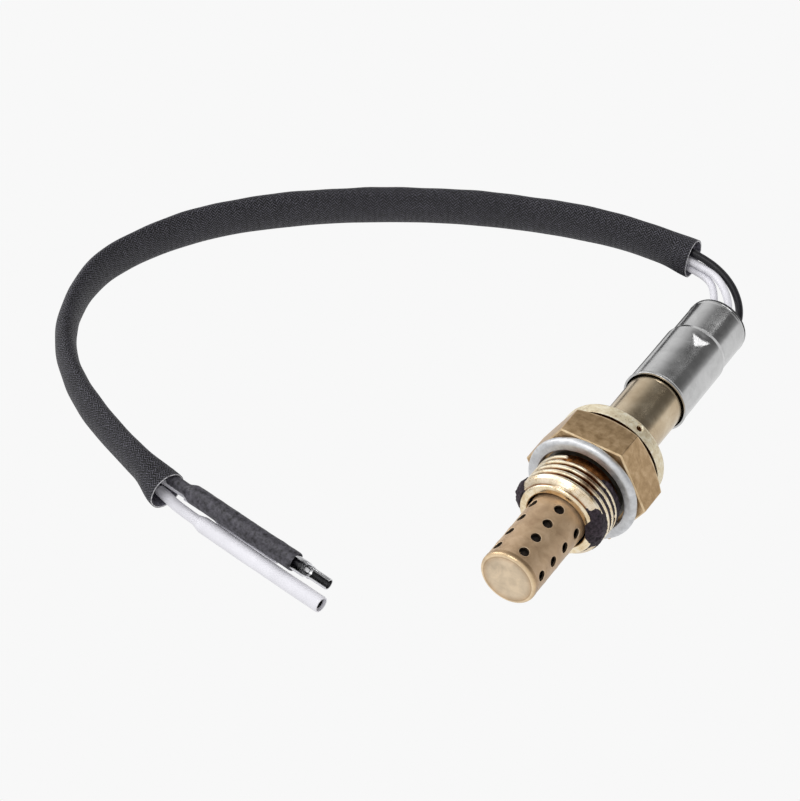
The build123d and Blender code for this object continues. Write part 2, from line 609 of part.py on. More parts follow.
def shrink_tube(name, place):
    """Heat-shrink tube: shrunk on the lead at its inner end, wider over the terminal."""
    size, far = SHRINK[name], LEAD_FAR[name]
    radii = lead_radii(lead_route(name, place))
    corner, end, corners = far[-2], far[-1], size["corners"]
    run = (Vector(*end) - Vector(*corner)).length
    wide_at, bore = size["wide_at"], size["wide"] - SHRINK_WALL
    first = far[-2 - max(corners - 1, 0)]
    if corners:
        before = far[-2 - corners]
        bend = radii[-corners] * math.tan(math.radians(turns(lead_route(name, place))[-corners]) / 2)
        path = FilletPolyline(along(first, before, bend + 0.15), *far[-1 - corners:-1],
                              along(corner, end, wide_at), radius=radii[-corners:])
    else:
        bend = radii[-1] * math.tan(math.radians(turns(lead_route(name, place))[-1]) / 2)
        path = Line(along(corner, end, bend), along(corner, end, wide_at))
    narrow = swept_tube(path, size["narrow"], LEAD_R)
    wide = turned([
        (LEAD_R, 0), (size["narrow"], 0), (size["wide"], SHRINK_TAPER), (size["wide"], run - wide_at),
        (bore, run - wide_at), (bore, 2 * SHRINK_TAPER), (LEAD_R, SHRINK_TAPER)])
    return narrow + run_frame(corner, end, wide_at) * wide


def splice_terminal(name):
    """Open-barrel splice folded from tinned sheet: insulation wings, neck and a rolled barrel."""
    far, size = LEAD_FAR[name], TERMINALS[name]
    run = (Vector(*far[-1]) - Vector(*far[-2])).length
    start = run + size["reach"] - TERMINAL_LENGTH
    wing_r, wing_gap = LEAD_R + TERMINAL_SHEET, SHUT_WING_GAP
    if size["open"]:
        wing_r, wing_gap = OPEN_WING_R, OPEN_WING_GAP
    neck_r = min(wing_r, BARREL_R + NECK_GROWTH)
    neck_at, barrel_at = WING_LENGTH - TERMINAL_SHEET, WING_LENGTH + NECK_LENGTH
    # the lead lies on the floor of the wings, so the terminal's own axis stands above it
    lift = wing_r - TERMINAL_SHEET - LEAD_R

    def shell(outer, z, height, inner):
        full = Cylinder(outer, height, align=(Align.CENTER, Align.CENTER, Align.MIN))
        full -= Cylinder(inner, height, align=(Align.CENTER, Align.CENTER, Align.MIN))
        return Location((0, lift, z)) * full

    def gap(width, z, height, low=0.0):
        box = Box(width, 2 * OPEN_WING_R, height, align=(Align.CENTER, Align.MIN, Align.MIN))
        return Location((0, lift + low, z)) * box

    def rolled(outer, z, height):
        return shell(outer, z, height, outer - TERMINAL_SHEET)

    wings = rolled(wing_r, 0, WING_LENGTH) - gap(wing_gap, 0, WING_LENGTH)
    neck = rolled(neck_r, neck_at, NECK_LENGTH + 2 * TERMINAL_SHEET)
    if wing_r > neck_r:
        neck += shell(wing_r, neck_at, TERMINAL_SHEET, BARREL_R - TERMINAL_SHEET)
    neck -= gap(3 * OPEN_WING_R, neck_at, NECK_LENGTH + 2 * TERMINAL_SHEET, -TERMINAL_SHEET)
    barrel = rolled(BARREL_R, barrel_at, BARREL_LENGTH) - gap(BARREL_SEAM, barrel_at, BARREL_LENGTH)

    place = run_frame(far[-2], far[-1], start) * Rot(0, 0, size["turn"])
    middle = place * Location((0, lift, barrel_at + BARREL_LENGTH / 2))
    print(f"splice barrel of {name}: middle", [round(c, 2) for c in middle.position],
          "axis", [round(c, 4) for c in Plane(middle).z_dir])
    return place * (wings + neck + barrel)


# ---------------------------------------------------------------- assembly
def sensor_pieces():
    black, white_a, white_b = (LEAD_ANGLE[n] for n in ("black_wire", "white_wire_a", "white_wire_b"))
    return {
        "hex_body": hex_body(),
        "sealing_gasket": sealing_gasket(),
        "anti_seize_paste": anti_seize_paste(),
        "outer_protection_tube": outer_protection_tube(),
        "inner_protection_tube": inner_protection_tube(),
        "element_seal_washer": element_seal_washer(),
        "zirconia_thimble": zirconia_thimble(),
        "talc_ring": talc_ring(),
        "ceramic_support_tube": ceramic_support_tube(),
        "retaining_ring": retaining_ring(),
        "heater_rod": heater_rod(),
        "terminal_insulator": terminal_insulator(),
        "disc_spring": disc_spring(),
        "signal_contact": signal_contact(black),
        "heater_contact_a": heater_contact(white_a),
        "heater_contact_b": heater_contact(white_b),
        "sheath_tube": sheath_tube(),
        "rear_shroud": rear_shroud(),
        "grommet": grommet(),
    }


def main():
    local = sensor_pieces()
    lying = resting_location()
    extent = Compound(children=[lying * piece for piece in local.values()]).bounding_box()
    place = Location((0, -(extent.min.Y + extent.max.Y) / 2, 0)) * lying
    pieces = {name: place * piece for name, piece in local.items()}
    for name in LEAD_ANGLE:
        colour = name.replace("_wire", "")
        pieces[name] = lead(name, place)
        pieces[f"shrink_tube_{colour}"] = shrink_tube(name, place)
        pieces[f"splice_terminal_{colour}"] = splice_terminal(name)
    pieces["woven_sleeve"] = woven_sleeve()
    tip = (place * Location((0, 0, 0))).position
    rear = (place * Location((0, 0, GROMMET_END))).position
    print("tip", tuple(round(c, 3) for c in tip), "rear", tuple(round(c, 3) for c in rear))
    for name, piece in pieces.items():
        export_step(piece, f"parts/{name}.step")


main()
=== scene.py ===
"""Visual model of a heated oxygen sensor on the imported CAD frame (row frame, metres)."""
from math import atan2, ceil, cos, degrees, dist, exp, floor, hypot, pi, radians, sin, sqrt, tan

import bmesh
import bpy
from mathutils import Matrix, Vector, noise


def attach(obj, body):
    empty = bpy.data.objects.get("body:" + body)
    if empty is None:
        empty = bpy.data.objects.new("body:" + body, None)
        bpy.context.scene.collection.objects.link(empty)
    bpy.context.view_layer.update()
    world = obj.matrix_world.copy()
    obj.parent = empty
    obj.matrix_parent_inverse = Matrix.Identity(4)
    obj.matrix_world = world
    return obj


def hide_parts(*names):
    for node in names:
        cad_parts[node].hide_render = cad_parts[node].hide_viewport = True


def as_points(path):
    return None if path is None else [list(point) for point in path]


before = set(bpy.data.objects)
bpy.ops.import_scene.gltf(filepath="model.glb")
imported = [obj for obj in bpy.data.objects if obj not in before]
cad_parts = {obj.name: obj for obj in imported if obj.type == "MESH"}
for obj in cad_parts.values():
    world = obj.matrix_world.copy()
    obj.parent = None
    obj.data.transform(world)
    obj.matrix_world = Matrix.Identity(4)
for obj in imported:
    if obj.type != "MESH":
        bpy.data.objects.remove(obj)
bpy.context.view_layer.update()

MM = 0.001
UP = Vector((0, 0, 1))

# ---- sizes and places, in millimetres
# The axis starts in the middle of the tip and sinks towards the rear. A station is a distance along it, and
# an angle goes round it in degrees, from the top towards +X.
TIP = Vector((0, -41.757, 15.175))
TILT = radians(6.2344)
AXIS = Vector((0, cos(TILT), -sin(TILT)))
TOP = Vector((0, sin(TILT), cos(TILT)))
SIDE = Vector((1, 0, 0))

# protection tubes: holes in columns round the axis and rows along it
OUTER_TUBE = dict(radius=5.7, wall=0.5, hole_r=1, columns=6, rows=4, first_deg=14.5,
                  first_s=2.95, pitch=4.3, front=1.25, rear=18.9)
INNER_TUBE = dict(radius=4.6, wall=0.4, hole_r=0.85, columns=6, rows=3, first_deg=44.5,
                  first_s=5.1, pitch=4.3, front=2.7, rear=19.4)
TIP_ROUND = 0.85
TIP_DISH = 0.05
INNER_NOSE = 1.5
INNER_NOSE_ROUND = 1.2

# body: rolled lip, M18 x 1.5 thread, undercut, hex, groove and crimped collar with a pit in it
LIP_FRONT = 18
LIP_BORE_R = 6.16
LIP_REAR = 18.4
PITCH = 1.5
CREST_R = 8.97
ROOT_R = 8.12
NECK_R = 8.08
FIRST_CREST = 20.21                             # station of the first crest at the top
LEAD_IN = ((LIP_REAR, 7.72), (18.95, 8.12), (19.5, 8.62), (20.1, CREST_R), (28, CREST_R))
THREAD_REAR = 27.62
UNDERCUT_R = 8
HEX_AF = 22
HEX_FRONT = 29.3
HEX_REAR = 36.82
HEX_BEVEL = 0.24
HEX_CHAMFER_DEG = 30
GROOVE_R = 10
COLLAR_FRONT = 37.7
COLLAR_REAR = 41
COLLAR_R = 10.88
COLLAR_ROUND = 1.1
PIT_S = 39.35
PIT_DEG = 28

# ring folded from sheet
GASKET_FRONT = 27.32
GASKET_REAR = 29.28
GASKET_R = 11.43
GASKET_BORE_R = 9.15

# paste patches: from and to in degrees, front and rear station; lumps on them: angle, station, reach in
# degrees, reach along the axis, height
PASTE_PATCHES = ((20, 158, 17.2, 27.3), (-128, -56, 17.9, 24.6))
PASTE_LUMPS = ((82, 18.6, 29, 2.3, 0.62), (-85, 20.3, 21, 2.3, 0.75))
PASTE_TOP_R = {"right": 9, "left": 9.6}

# sheath, shroud with its flared skirt and narrower rear part, grommet
SHEATH_R = 5.97
SHEATH_FRONT = 39.2
SHEATH_REAR = 63.7
SHROUD_FRONT = 57.1
SHROUD_REAR = 83.4
SKIRT_R = 6.74
SHROUD_R = 6.59
SHOULDER = 73.5
CRIMPED_R = 6.22
GROMMET_REAR = 83.97

# sleeve and leads: the routes of the CAD tubes, as control points of smooth splines; a lead follows the
# sleeve at a height of its own
SLEEVE_Z = 4.6
SLEEVE_WALL = 0.42
SLEEVE_ROUTE = [
    (-13.4, 56.8), (-24.5, 56.8), (-36.5, 54.4), (-50, 49.9), (-63.5, 43.9), (-77.5, 35.8),
    (-90.5, 26.4), (-102.5, 15.2), (-111, 2), (-114.9, -11), (-110.4, -26.5),
    (-100, -36.8), (-84.5, -44.3), (-69.9, -49),
]
LEAD_D = 1.55
# each lead: height in the sleeve, angle of its hole, length in metres, points in front of the sleeve and
# beyond it; x where its shrink tube starts and swells, and the tube's end; both ends of its splice
LEADS = {
    "black_wire": dict(
        z=6.5, angle=140, length=0.2635,
        near=[(1.74, 28.6, 5.41), (1.74, 37.9, 4.4), (3.1, 43.9, 3.85), (1.3, 49.3, 4.8),
              (-3.5, 53.8, 6), (-10.5, 56.1, 6.9)],
        far=[(-79.8, -45.4, 6.2), (-73.5, -46.7, 5.2), (-38.2, -51.74, 5.07)],
        tube=(-70.4, (-66.3, -64.2), (-39.2, -51.6, 5.07)),
        splice=((-39.15, -51.61, 5.07), (-30.98, -52.78, 5.04)),
    ),
    "white_wire_a": dict(
        z=2.7, angle=260, length=0.2576,
        near=[(-2.66, 28.77, 7), (-2.66, 38.9, 5.9), (-2.66, 43.98, 5.34), (-4.3, 48.9, 5),
              (-7.9, 54, 3.8), (-14.2, 55.7, 2.8)],
        far=[(-78.2, -46.8, 2.1), (-71, -48.6, 2.1), (-65.3, -50.4, 1.75), (-37.78, -54.45, 1.67)],
        tube=(-72.5, (-62.6, -60.2), (-31.3, -55.4, 1.65)),
        splice=((-39.9, -54.13, 1.68), (-31.25, -55.39, 1.65)),
    ),
    "white_wire_b": dict(
        z=4.6, angle=20, length=0.2464,
        near=[(0.92, 29.1, 9.99), (0.92, 38.3, 8.98), (1.5, 44.4, 8.3), (-5.6, 53.5, 6),
              (-12.6, 55.5, 4.9)],
        far=[(-78.5, -46.1, 4.2), (-71.5, -46.9, 3.3), (-63, -46.95, 1.7), (-50.48, -48.73, 1.67)],
        tube=(-67, (-60.2, -57.8), (-44, -49.65, 1.65)),
        splice=((-52.6, -48.43, 1.67), (-44.4, -49.59, 1.65)),
    ),
}
# where a lead leaves the grommet: just behind it, and away from the axis
EXIT_S = 83.9
EXIT_R = 2.7

# shrink tubes: radius on the lead and on the splice, bore, and spacing and height of their unevenness;
# splices: radius of the wings, half the gap between them in degrees, and turn about their own run
TUBE_SIZE = {"black": dict(narrow=1.2, wide=1.93, bore=1.7, lumps=0.55, lump_height=0.07),
             "white": dict(narrow=1.1, wide=1.63, bore=1.34, lumps=0.3, lump_height=0.035)}
SPLICE_SIZE = {"black": dict(wing=1.5, open=47.2, turn=40),
               "white": dict(wing=0.975, open=8.8, turn=0)}
SHEET = 0.2
WING_END = 3
TROUGH_END = 3.66
BARREL_R = 1.15
BARREL_END = 8.25
TROUGH_OPEN = 96
BARREL_OPEN = 38

# camera (metres, degrees, pixels) and floor (metres)
CAMERA_AT = (0.1686, -0.35503, 0.4628)
CAMERA_DOWN_DEG = 48.33
CAMERA_TURN_DEG = 31.4
FOCAL_PX = 3162.2
PHOTO_PX = 800
SENSOR_WIDTH = 36
FLOOR_HALF = 3
FLOOR_Z = -0.0003


def at(s, r, deg):
    """Row point of the sensor at a station, a radius (mm) and an angle."""
    a = radians(deg)
    return (TIP + AXIS * s + (SIDE * sin(a) + TOP * cos(a)) * r) * MM


def ease(a, b, x):
    """0 before a, 1 after b and smooth between them."""
    t = min(1, max(0, (x - a) / (b - a)))
    return t * t * (3 - 2 * t)


def noise_at(*where):
    return noise.noise(Vector(where))


def circle(deg, r=1):
    a = radians(deg)
    return r * cos(a), r * sin(a)


# ---- meshes
def grid(rows, columns, closed=True, base=0, flip=False):
    """Faces between rows of points; closed joins a row's last point to its first."""
    faces = []
    for i in range(rows - 1):
        for k in range(columns if closed else columns - 1):
            a, b = base + i * columns + k, base + i * columns + (k + 1) % columns
            faces.append((a, a + columns, b + columns, b) if flip else (a, b, b + columns, a + columns))
    return faces


def wrapped(faces, count):
    """The same faces, with the row after the last one being the first."""
    return [tuple(v % count for v in face) for face in faces]


def add(name, data):
    obj = bpy.data.objects.new(name, data)
    bpy.context.scene.collection.objects.link(obj)
    return obj


def set_uvs(mesh, uvs):
    """One UV a vertex, with u unwrapped where a face crosses the seam."""
    layer = mesh.uv_layers.new(name="UVMap")
    for poly in mesh.polygons:
        us = [uvs[v][0] for v in poly.vertices]
        wrap = max(us) - min(us) > 0.5 and max(us) > 0.75
        for loop, vert in zip(poly.loop_indices, poly.vertices):
            u, v = uvs[vert]
            layer.data[loop].uv = (u + 1 if wrap and u < 0.5 else u, v)


def mark_sharp(mesh, degrees):
    """Sharp edges where two faces turn by more than an angle."""
    normals = [p.normal for p in mesh.polygons]
    by_edge = {}
    for poly in mesh.polygons:
        for key in poly.edge_keys:
            by_edge.setdefault(key, []).append(poly.index)
    limit = cos(radians(degrees))
    for edge in mesh.edges:
        polys = by_edge.get(tuple(sorted(edge.vertices)), [])
        if len(polys) == 2 and normals[polys[0]].dot(normals[polys[1]]) < limit:
            edge.use_edge_sharp = True


def make(name, verts, faces, material, uvs=None, sharp=32):
    """A smooth piece that rides on the sensor; material may be a list."""
    mesh = bpy.data.meshes.new(name)
    mesh.from_pydata([tuple(v) for v in verts], [], faces)
    mesh.validate()
    mesh.update()
    if uvs is not None:
        set_uvs(mesh, uvs)
    mesh.shade_smooth()
    mark_sharp(mesh, sharp)
    obj = add(name, mesh)
    for mat in material if isinstance(material, list) else [material]:
        mesh.materials.append(mat)
    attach(obj, "root")
    return obj


def rounded(points, steps=6):
    """Profile of (s, r) or (s, r, radius) corners, with the radii filleted."""
    out = []
    last = len(points) - 1
    for i, p in enumerate(points):
        if len(p) == 2 or i in (0, last):
            out.append(p[:2])
            continue
        here = Vector(p[:2])
        back = Vector(points[i - 1][:2]) - here
        ahead = Vector(points[i + 1][:2]) - here
        half = back.angle(ahead) / 2
        reach = min(p[2] / tan(half), back.length * 0.49, ahead.length * 0.49)
        radius = reach * tan(half)
        centre = here + (back.normalized() + ahead.normalized()).normalized() * radius / sin(half)
        start = here + back.normalized() * reach - centre
        end = here + ahead.normalized() * reach - centre
        for k in range(steps + 1):
            q = centre + start.slerp(end, k / steps).normalized() * radius
            out.append((q.x, q.y))
    return out


def dense(profile, step):
    """The same profile with no step longer than a length."""
    out = [profile[0]]
    for a, b in zip(profile, profile[1:]):
        n = max(1, ceil(dist(a, b) / step))
        out += [(a[0] + (b[0] - a[0]) * k / n, a[1] + (b[1] - a[1]) * k / n) for k in range(1, n + 1)]
    return out


def turn(steps):
    return [360 * k / steps for k in range(steps)]


def lathe(name, profile, material, angles, shape=None, capped=False):
    """A turned skin; shape(s, r, deg) may move its points, and capped closes its first ring."""
    verts, uvs = [], []
    length = 0
    last = profile[0]
    for s, r in profile:
        length += dist(last, (s, r))
        last = (s, r)
        for deg in angles:
            verts.append(at(*(shape(s, r, deg) if shape else (s, r, deg))))
            uvs.append((deg / 360, length / 100))
    faces = grid(len(profile), len(angles))
    if capped:
        faces.append(tuple(reversed(range(len(angles)))))
    return make(name, verts, faces, material, uvs)


# ---- materials
def srgb(r, g, b):
    """Linear colour of an sRGB one, 0 to 255."""
    return tuple((c / 255 / 12.92) if c / 255 <= 0.04045 else ((c / 255 + 0.055) / 1.055) ** 2.4
                 for c in (r, g, b)) + (1,)


def paint(name, tone, metallic=0, rough=0.5, gloss=0.5):
    mat = bpy.data.materials.new(name)
    mat.use_nodes = True
    bsdf = mat.node_tree.nodes["Principled BSDF"]
    for key, value in (("Base Color", srgb(*tone)), ("Metallic", metallic), ("Roughness", rough),
                       ("Specular IOR Level", gloss)):
        bsdf.inputs[key].default_value = value
    return mat, mat.node_tree, bsdf


def node(nt, kind, inputs=None, **props):
    """A shader node; each input is a value or another node's output."""
    n = nt.nodes.new("ShaderNode" + kind)
    for key, value in props.items():
        setattr(n, key, value)
    for key, value in (inputs or {}).items():
        if isinstance(value, bpy.types.NodeSocket):
            nt.links.new(value, n.inputs[key])
        else:
            n.inputs[key].default_value = value
    return n


def maths(nt, operation, *values):
    return node(nt, "Math", dict(enumerate(values)), operation=operation).outputs[0]


def place(nt, scale=(1000, 1000, 1000), kind="Object"):
    """Coordinates in millimetres (Object) or round and along a turned piece (UV)."""
    coord = node(nt, "TexCoord")
    return node(nt, "Mapping", {"Vector": coord.outputs[kind], "Scale": scale}).outputs["Vector"]


def grain(nt, vector, scale, detail=4, rough=0.55, distortion=0):
    return node(nt, "TexNoise", {"Vector": vector, "Scale": scale, "Detail": detail, "Roughness": rough,
                                 "Distortion": distortion}).outputs["Fac"]


def ramp(nt, fac, *stops):
    """Ramp of (position, colour) stops; a colour is a tone of 0 to 255 or a grey."""
    n = node(nt, "ValToRGB", {"Fac": fac})
    elements = n.color_ramp.elements
    while len(elements) < len(stops):
        elements.new(0.5)
    for element, (pos, tone) in zip(elements, stops):
        element.position = pos
        element.color = srgb(*tone) if isinstance(tone, tuple) else (tone, tone, tone, 1)
    return n.outputs["Color"]


def blend(nt, fac, a, b, mode="MIX"):
    return node(nt, "Mix", {0: fac, 6: a, 7: b}, data_type="RGBA", blend_type=mode).outputs[2]


def bump(nt, height, strength, distance, into=None):
    """Normals raised by a height; distance is in millimetres."""
    inputs = {"Height": height, "Strength": strength, "Distance": distance * MM}
    if into is not None:
        inputs["Normal"] = into
    return node(nt, "Bump", inputs).outputs["Normal"]


def surface(nt, bsdf, colour, normal, rough=None):
    nt.links.new(colour, bsdf.inputs["Base Color"])
    nt.links.new(normal, bsdf.inputs["Normal"])
    if rough is not None:
        nt.links.new(rough, bsdf.inputs["Roughness"])


def metal(name, dark, mid, light, rough, patch=0.5, streak=0.35, relief=0.02, flecks=None, metallic=1):
    """Turned metal with blotches and turning marks; flecks: tone, noise scale, level it starts at."""
    mat, nt, bsdf = paint(name, mid, metallic=metallic)
    mm = place(nt)
    round_it = place(nt, (6, 4000, 1), "UV")
    blotch = grain(nt, mm, patch, 5, 0.6, 0.4)
    marks = grain(nt, round_it, 1, 3, 0.7)
    both = blend(nt, streak, blotch, marks)
    colour = ramp(nt, both, (0.32, dark), (0.5, mid), (0.68, light))
    if flecks:
        tone, scale, level = flecks
        spots = ramp(nt, grain(nt, mm, scale, 6, 0.7), (level, 0), (level + 0.07, 1))
        colour = blend(nt, spots, colour, srgb(*tone))
    dull = ramp(nt, both, (0.3, rough[0]), (0.7, rough[1]))
    mottled = bump(nt, grain(nt, mm, 3, 4, 0.6), 0.5, relief)
    surface(nt, bsdf, colour, bump(nt, marks, 0.25, relief, mottled), dull)
    return mat


TUBE = metal("tube_bronze", (160, 132, 102), (182, 154, 122), (198, 171, 140), (0.36, 0.46), patch=0.35,
             streak=0.2, flecks=((148, 120, 92), 1.1, 0.63), metallic=0.5)
HOLE_RIM = metal("hole_rim", (170, 144, 114), (202, 176, 144), (222, 202, 174), (0.3, 0.42), metallic=0.6)
# painted shade: the walls of the holes are painted dark for the shade inside them
HOLE_WALL_SHADE = metal("hole_wall_shade", (30, 23, 17), (62, 50, 38), (120, 100, 78), (0.45, 0.6), patch=0.9,
                  metallic=0.5)
# painted shade: the inner tube is painted near-black, standing for the shade seen through the outer holes
INNER_SHADED_STEEL = metal("inner_tube_shaded_steel", (16, 12, 9), (34, 26, 19), (70, 58, 44), (0.6, 0.7), patch=0.8,
              metallic=0.2)
LIP = metal("lip_gold", (206, 178, 138), (240, 222, 188), (252, 242, 222), (0.16, 0.28), patch=0.6,
            streak=0.3, flecks=((150, 112, 70), 1.2, 0.66))
HEX_SKIN = metal("hex_nickel", (148, 121, 87), (180, 151, 114), (206, 178, 142), (0.3, 0.42), patch=0.7,
                 streak=0.3, flecks=((150, 120, 86), 2.4, 0.62))
# painted highlight: a lighter bronze for the hex's bevel and edge lines
BEVEL_HIGHLIGHT = metal("hex_bevel_highlight", (186, 158, 120), (212, 186, 148), (228, 208, 174), (0.3, 0.42), streak=0.2,
              metallic=0.8)
# painted shade with an orange-brown tint, for recesses: the hex's rear face, the groove behind it and the
# collar's pit
RECESS_SHADE = metal("recess_shade_tint", (46, 22, 10), (84, 48, 24), (150, 98, 52), (0.4, 0.55), patch=0.9, streak=0.1)
COLLAR = metal("collar_nickel", (206, 188, 156), (226, 214, 184), (242, 236, 218), (0.36, 0.5), patch=1.1,
               streak=0.15, flecks=((158, 134, 98), 1.3, 0.6), metallic=0.6)
GASKET = metal("gasket_steel", (188, 189, 191), (206, 207, 209), (222, 223, 225), (0.46, 0.56), patch=0.8,
               streak=0.1)
SHEATH = metal("sheath_steel", (178, 158, 130), (198, 180, 152), (216, 200, 174), (0.16, 0.25), patch=0.25,
               relief=0.005)
SHROUD = metal("shroud_steel", (178, 178, 178), (195, 195, 195), (207, 207, 207), (0.15, 0.24), patch=0.3,
               streak=0.3, relief=0.006)
TINNED = metal("tinned_brass", (196, 196, 198), (222, 222, 224), (240, 240, 242), (0.12, 0.28), patch=1.2,
               streak=0)
# painted shade: the inside of the rolled barrel, tinned like the outside
TIN_INSIDE_SHADE = metal("tinned_inside_shade", (20, 20, 21), (44, 44, 46), (90, 90, 93), (0.4, 0.5), metallic=0.6)
DARK_STEEL = metal("inner_steel", (96, 94, 90), (128, 126, 120), (160, 158, 152), (0.3, 0.5))


def tip_metal():
    """Deep-drawn tube end: a pale face, a ring of painted shade inside its edge and a band of painted
    highlight on the rounding, darker again down the side.
    """
    mat, nt, bsdf = paint("tube_end", (222, 200, 172), metallic=0.75)
    mm = place(nt)
    outwards = node(nt, "SeparateXYZ", {"Vector": node(nt, "TexCoord").outputs["UV"]}).outputs["Y"]
    # painted shade and highlight: a dark ring where the face meets the rounding, a bright band on the
    # rounding
    ring = ramp(nt, maths(nt, "MULTIPLY", outwards, 15),
                (0.58, (224, 203, 174)), (0.71, (210, 184, 152)), (0.735, (196, 164, 128)),
                (0.765, (246, 222, 186)), (0.82, (232, 204, 164)), (0.92, (176, 146, 112)))
    blotch = ramp(nt, grain(nt, mm, 0.3, 5, 0.6, 0.4), (0.36, 0.74), (0.62, 1))
    colour = blend(nt, 1, ring, blotch, "MULTIPLY")
    dull = ramp(nt, grain(nt, mm, 1.2), (0.3, 0.28), (0.7, 0.4))
    surface(nt, bsdf, colour, bump(nt, grain(nt, mm, 2.6), 0.5, 0.02), dull)
    return mat


TIP_END = tip_metal()


def thread_metal():
    """White-gold crests with turning lines, over orange-brown grooves; the crests are partly painted
    highlight and the grooves partly painted shade.
    """
    mat, nt, bsdf = paint("thread_plated", (230, 210, 170), metallic=1, rough=0.25)
    mm = place(nt)
    crest = node(nt, "VertexColor", layer_name="crest").outputs["Color"]
    patches = grain(nt, mm, 0.6, 5, 0.65)
    worn = blend(nt, 0.55, patches, grain(nt, place(nt, (5, 5200, 1), "UV"), 1, 3, 0.7))
    # painted shade in the grooves and painted highlight on the crests, over the grooves' orange-brown tint
    groove = ramp(nt, worn, (0.36, (66, 40, 22)), (0.5, (120, 76, 40)), (0.62, (196, 134, 78)))
    top = ramp(nt, worn, (0.36, (184, 146, 100)), (0.46, (238, 220, 186)), (0.58, (250, 242, 224)))
    colour = blend(nt, crest, groove, top)
    dull = ramp(nt, worn, (0.3, 0.2), (0.7, 0.38))
    surface(nt, bsdf, colour, bump(nt, worn, 0.5, 0.05), dull)
    return mat


THREAD = thread_metal()


def soft(name, dark, light, rough, scale=0.5, relief=0.02, gloss=0.5):
    """Plastic, rubber, ceramic or paste with slight mottling."""
    mat, nt, bsdf = paint(name, light, rough=rough, gloss=gloss)
    mm = place(nt)
    tone = grain(nt, mm, scale, 5, 0.6)
    colour = ramp(nt, tone, (0.3, dark), (0.7, light))
    surface(nt, bsdf, colour, bump(nt, grain(nt, mm, 2.5, 4, 0.6), 0.5, relief))
    return mat


PASTE = soft("anti_seize", (2, 1, 2), (70, 60, 68), 0.6, 1.7, relief=0.5, gloss=0.15)
RUBBER = soft("grommet_rubber", (22, 22, 23), (40, 40, 42), 0.55, 0.8)
BLACK = soft("black_insulation", (14, 13, 17), (22, 20, 27), 0.34, 0.25, relief=0.006, gloss=0.35)
WHITE = soft("white_insulation", (216, 215, 221), (228, 227, 233), 0.4, 0.25, relief=0.006)
WHITE_SHRINK = soft("white_shrink", (216, 215, 221), (228, 227, 233), 0.42, 0.2)
BLACK_SHRINK = soft("black_shrink", (12, 11, 14), (84, 82, 90), 0.5, 1.3, relief=0.08, gloss=0.35)
CERAMIC = soft("ceramic", (214, 208, 192), (236, 232, 220), 0.6, 0.5)
TALC = soft("talc", (176, 174, 164), (204, 202, 194), 0.85, 1)
RIM_THREAD = soft("sleeve_rim", (110, 108, 112), (226, 225, 228), 0.7, 1.6)
LINING = soft("sleeve_lining", (40, 39, 45), (134, 132, 144), 0.6, 1.5, relief=0.08)


def weave_cloth(name):
    """Fine diagonal braid: u runs along the sleeve and v round it, both in centimetres."""
    mat, nt, bsdf = paint(name, (48, 47, 52), rough=0.55, gloss=0.35)
    split = node(nt, "SeparateXYZ", {"Vector": node(nt, "TexCoord").outputs["UV"]})
    u = maths(nt, "MULTIPLY", split.outputs["X"], 10)
    v = maths(nt, "MULTIPLY", split.outputs["Y"], 10)
    u = maths(nt, "MULTIPLY_ADD", grain(nt, place(nt), 0.5, 3, 0.5), 0.9, u)
    # strands lean both ways, 0.45 mm apart, and pass over two and under two
    left = maths(nt, "MULTIPLY", maths(nt, "ADD", u, v), 1.57)
    right = maths(nt, "MULTIPLY", maths(nt, "SUBTRACT", u, v), 1.57)
    crossing = maths(nt, "ADD", maths(nt, "FLOOR", left), maths(nt, "FLOOR", right))
    over = maths(nt, "LESS_THAN", maths(nt, "FLOORED_MODULO", crossing, 4), 1.5)
    ridges = [maths(nt, "ABSOLUTE", maths(nt, "SINE", maths(nt, "MULTIPLY", way, pi)))
              for way in (left, right)]
    height = maths(nt, "ADD", maths(nt, "MULTIPLY", ridges[0], over),
                   maths(nt, "MULTIPLY", ridges[1], maths(nt, "SUBTRACT", 1, over)))
    fibre = grain(nt, place(nt), 5, 3, 0.7)
    # painted shade and sheen: the gaps between strands near-black, the ridge tops lighter
    tone = maths(nt, "MULTIPLY_ADD", fibre, 0.9, maths(nt, "MULTIPLY", height, 0.5))
    patch = grain(nt, place(nt), 0.12, 3, 0.5)
    colour = ramp(nt, tone, (0.46, (1, 1, 2)), (0.84, (11, 10, 14)), (1.06, (92, 90, 101)))
    colour = blend(nt, 1, colour, ramp(nt, patch, (0.3, 0.8), (0.7, 1)), "MULTIPLY")
    surface(nt, bsdf, colour, bump(nt, height, 0.9, 0.16))
    return mat


WEAVE = weave_cloth("sleeve_weave")


# ---- camera, light and floor
def photo_camera():
    camera = add("camera", bpy.data.cameras.new("camera"))
    camera.location = CAMERA_AT
    camera.rotation_euler = (radians(90 - CAMERA_DOWN_DEG), 0, radians(CAMERA_TURN_DEG))
    camera.data.sensor_fit = "HORIZONTAL"
    camera.data.sensor_width = SENSOR_WIDTH
    camera.data.lens = SENSOR_WIDTH * FOCAL_PX / PHOTO_PX
    camera.data.clip_start = 0.01
    bpy.context.scene.camera = camera
    bpy.context.scene.view_settings.view_transform = "Standard"


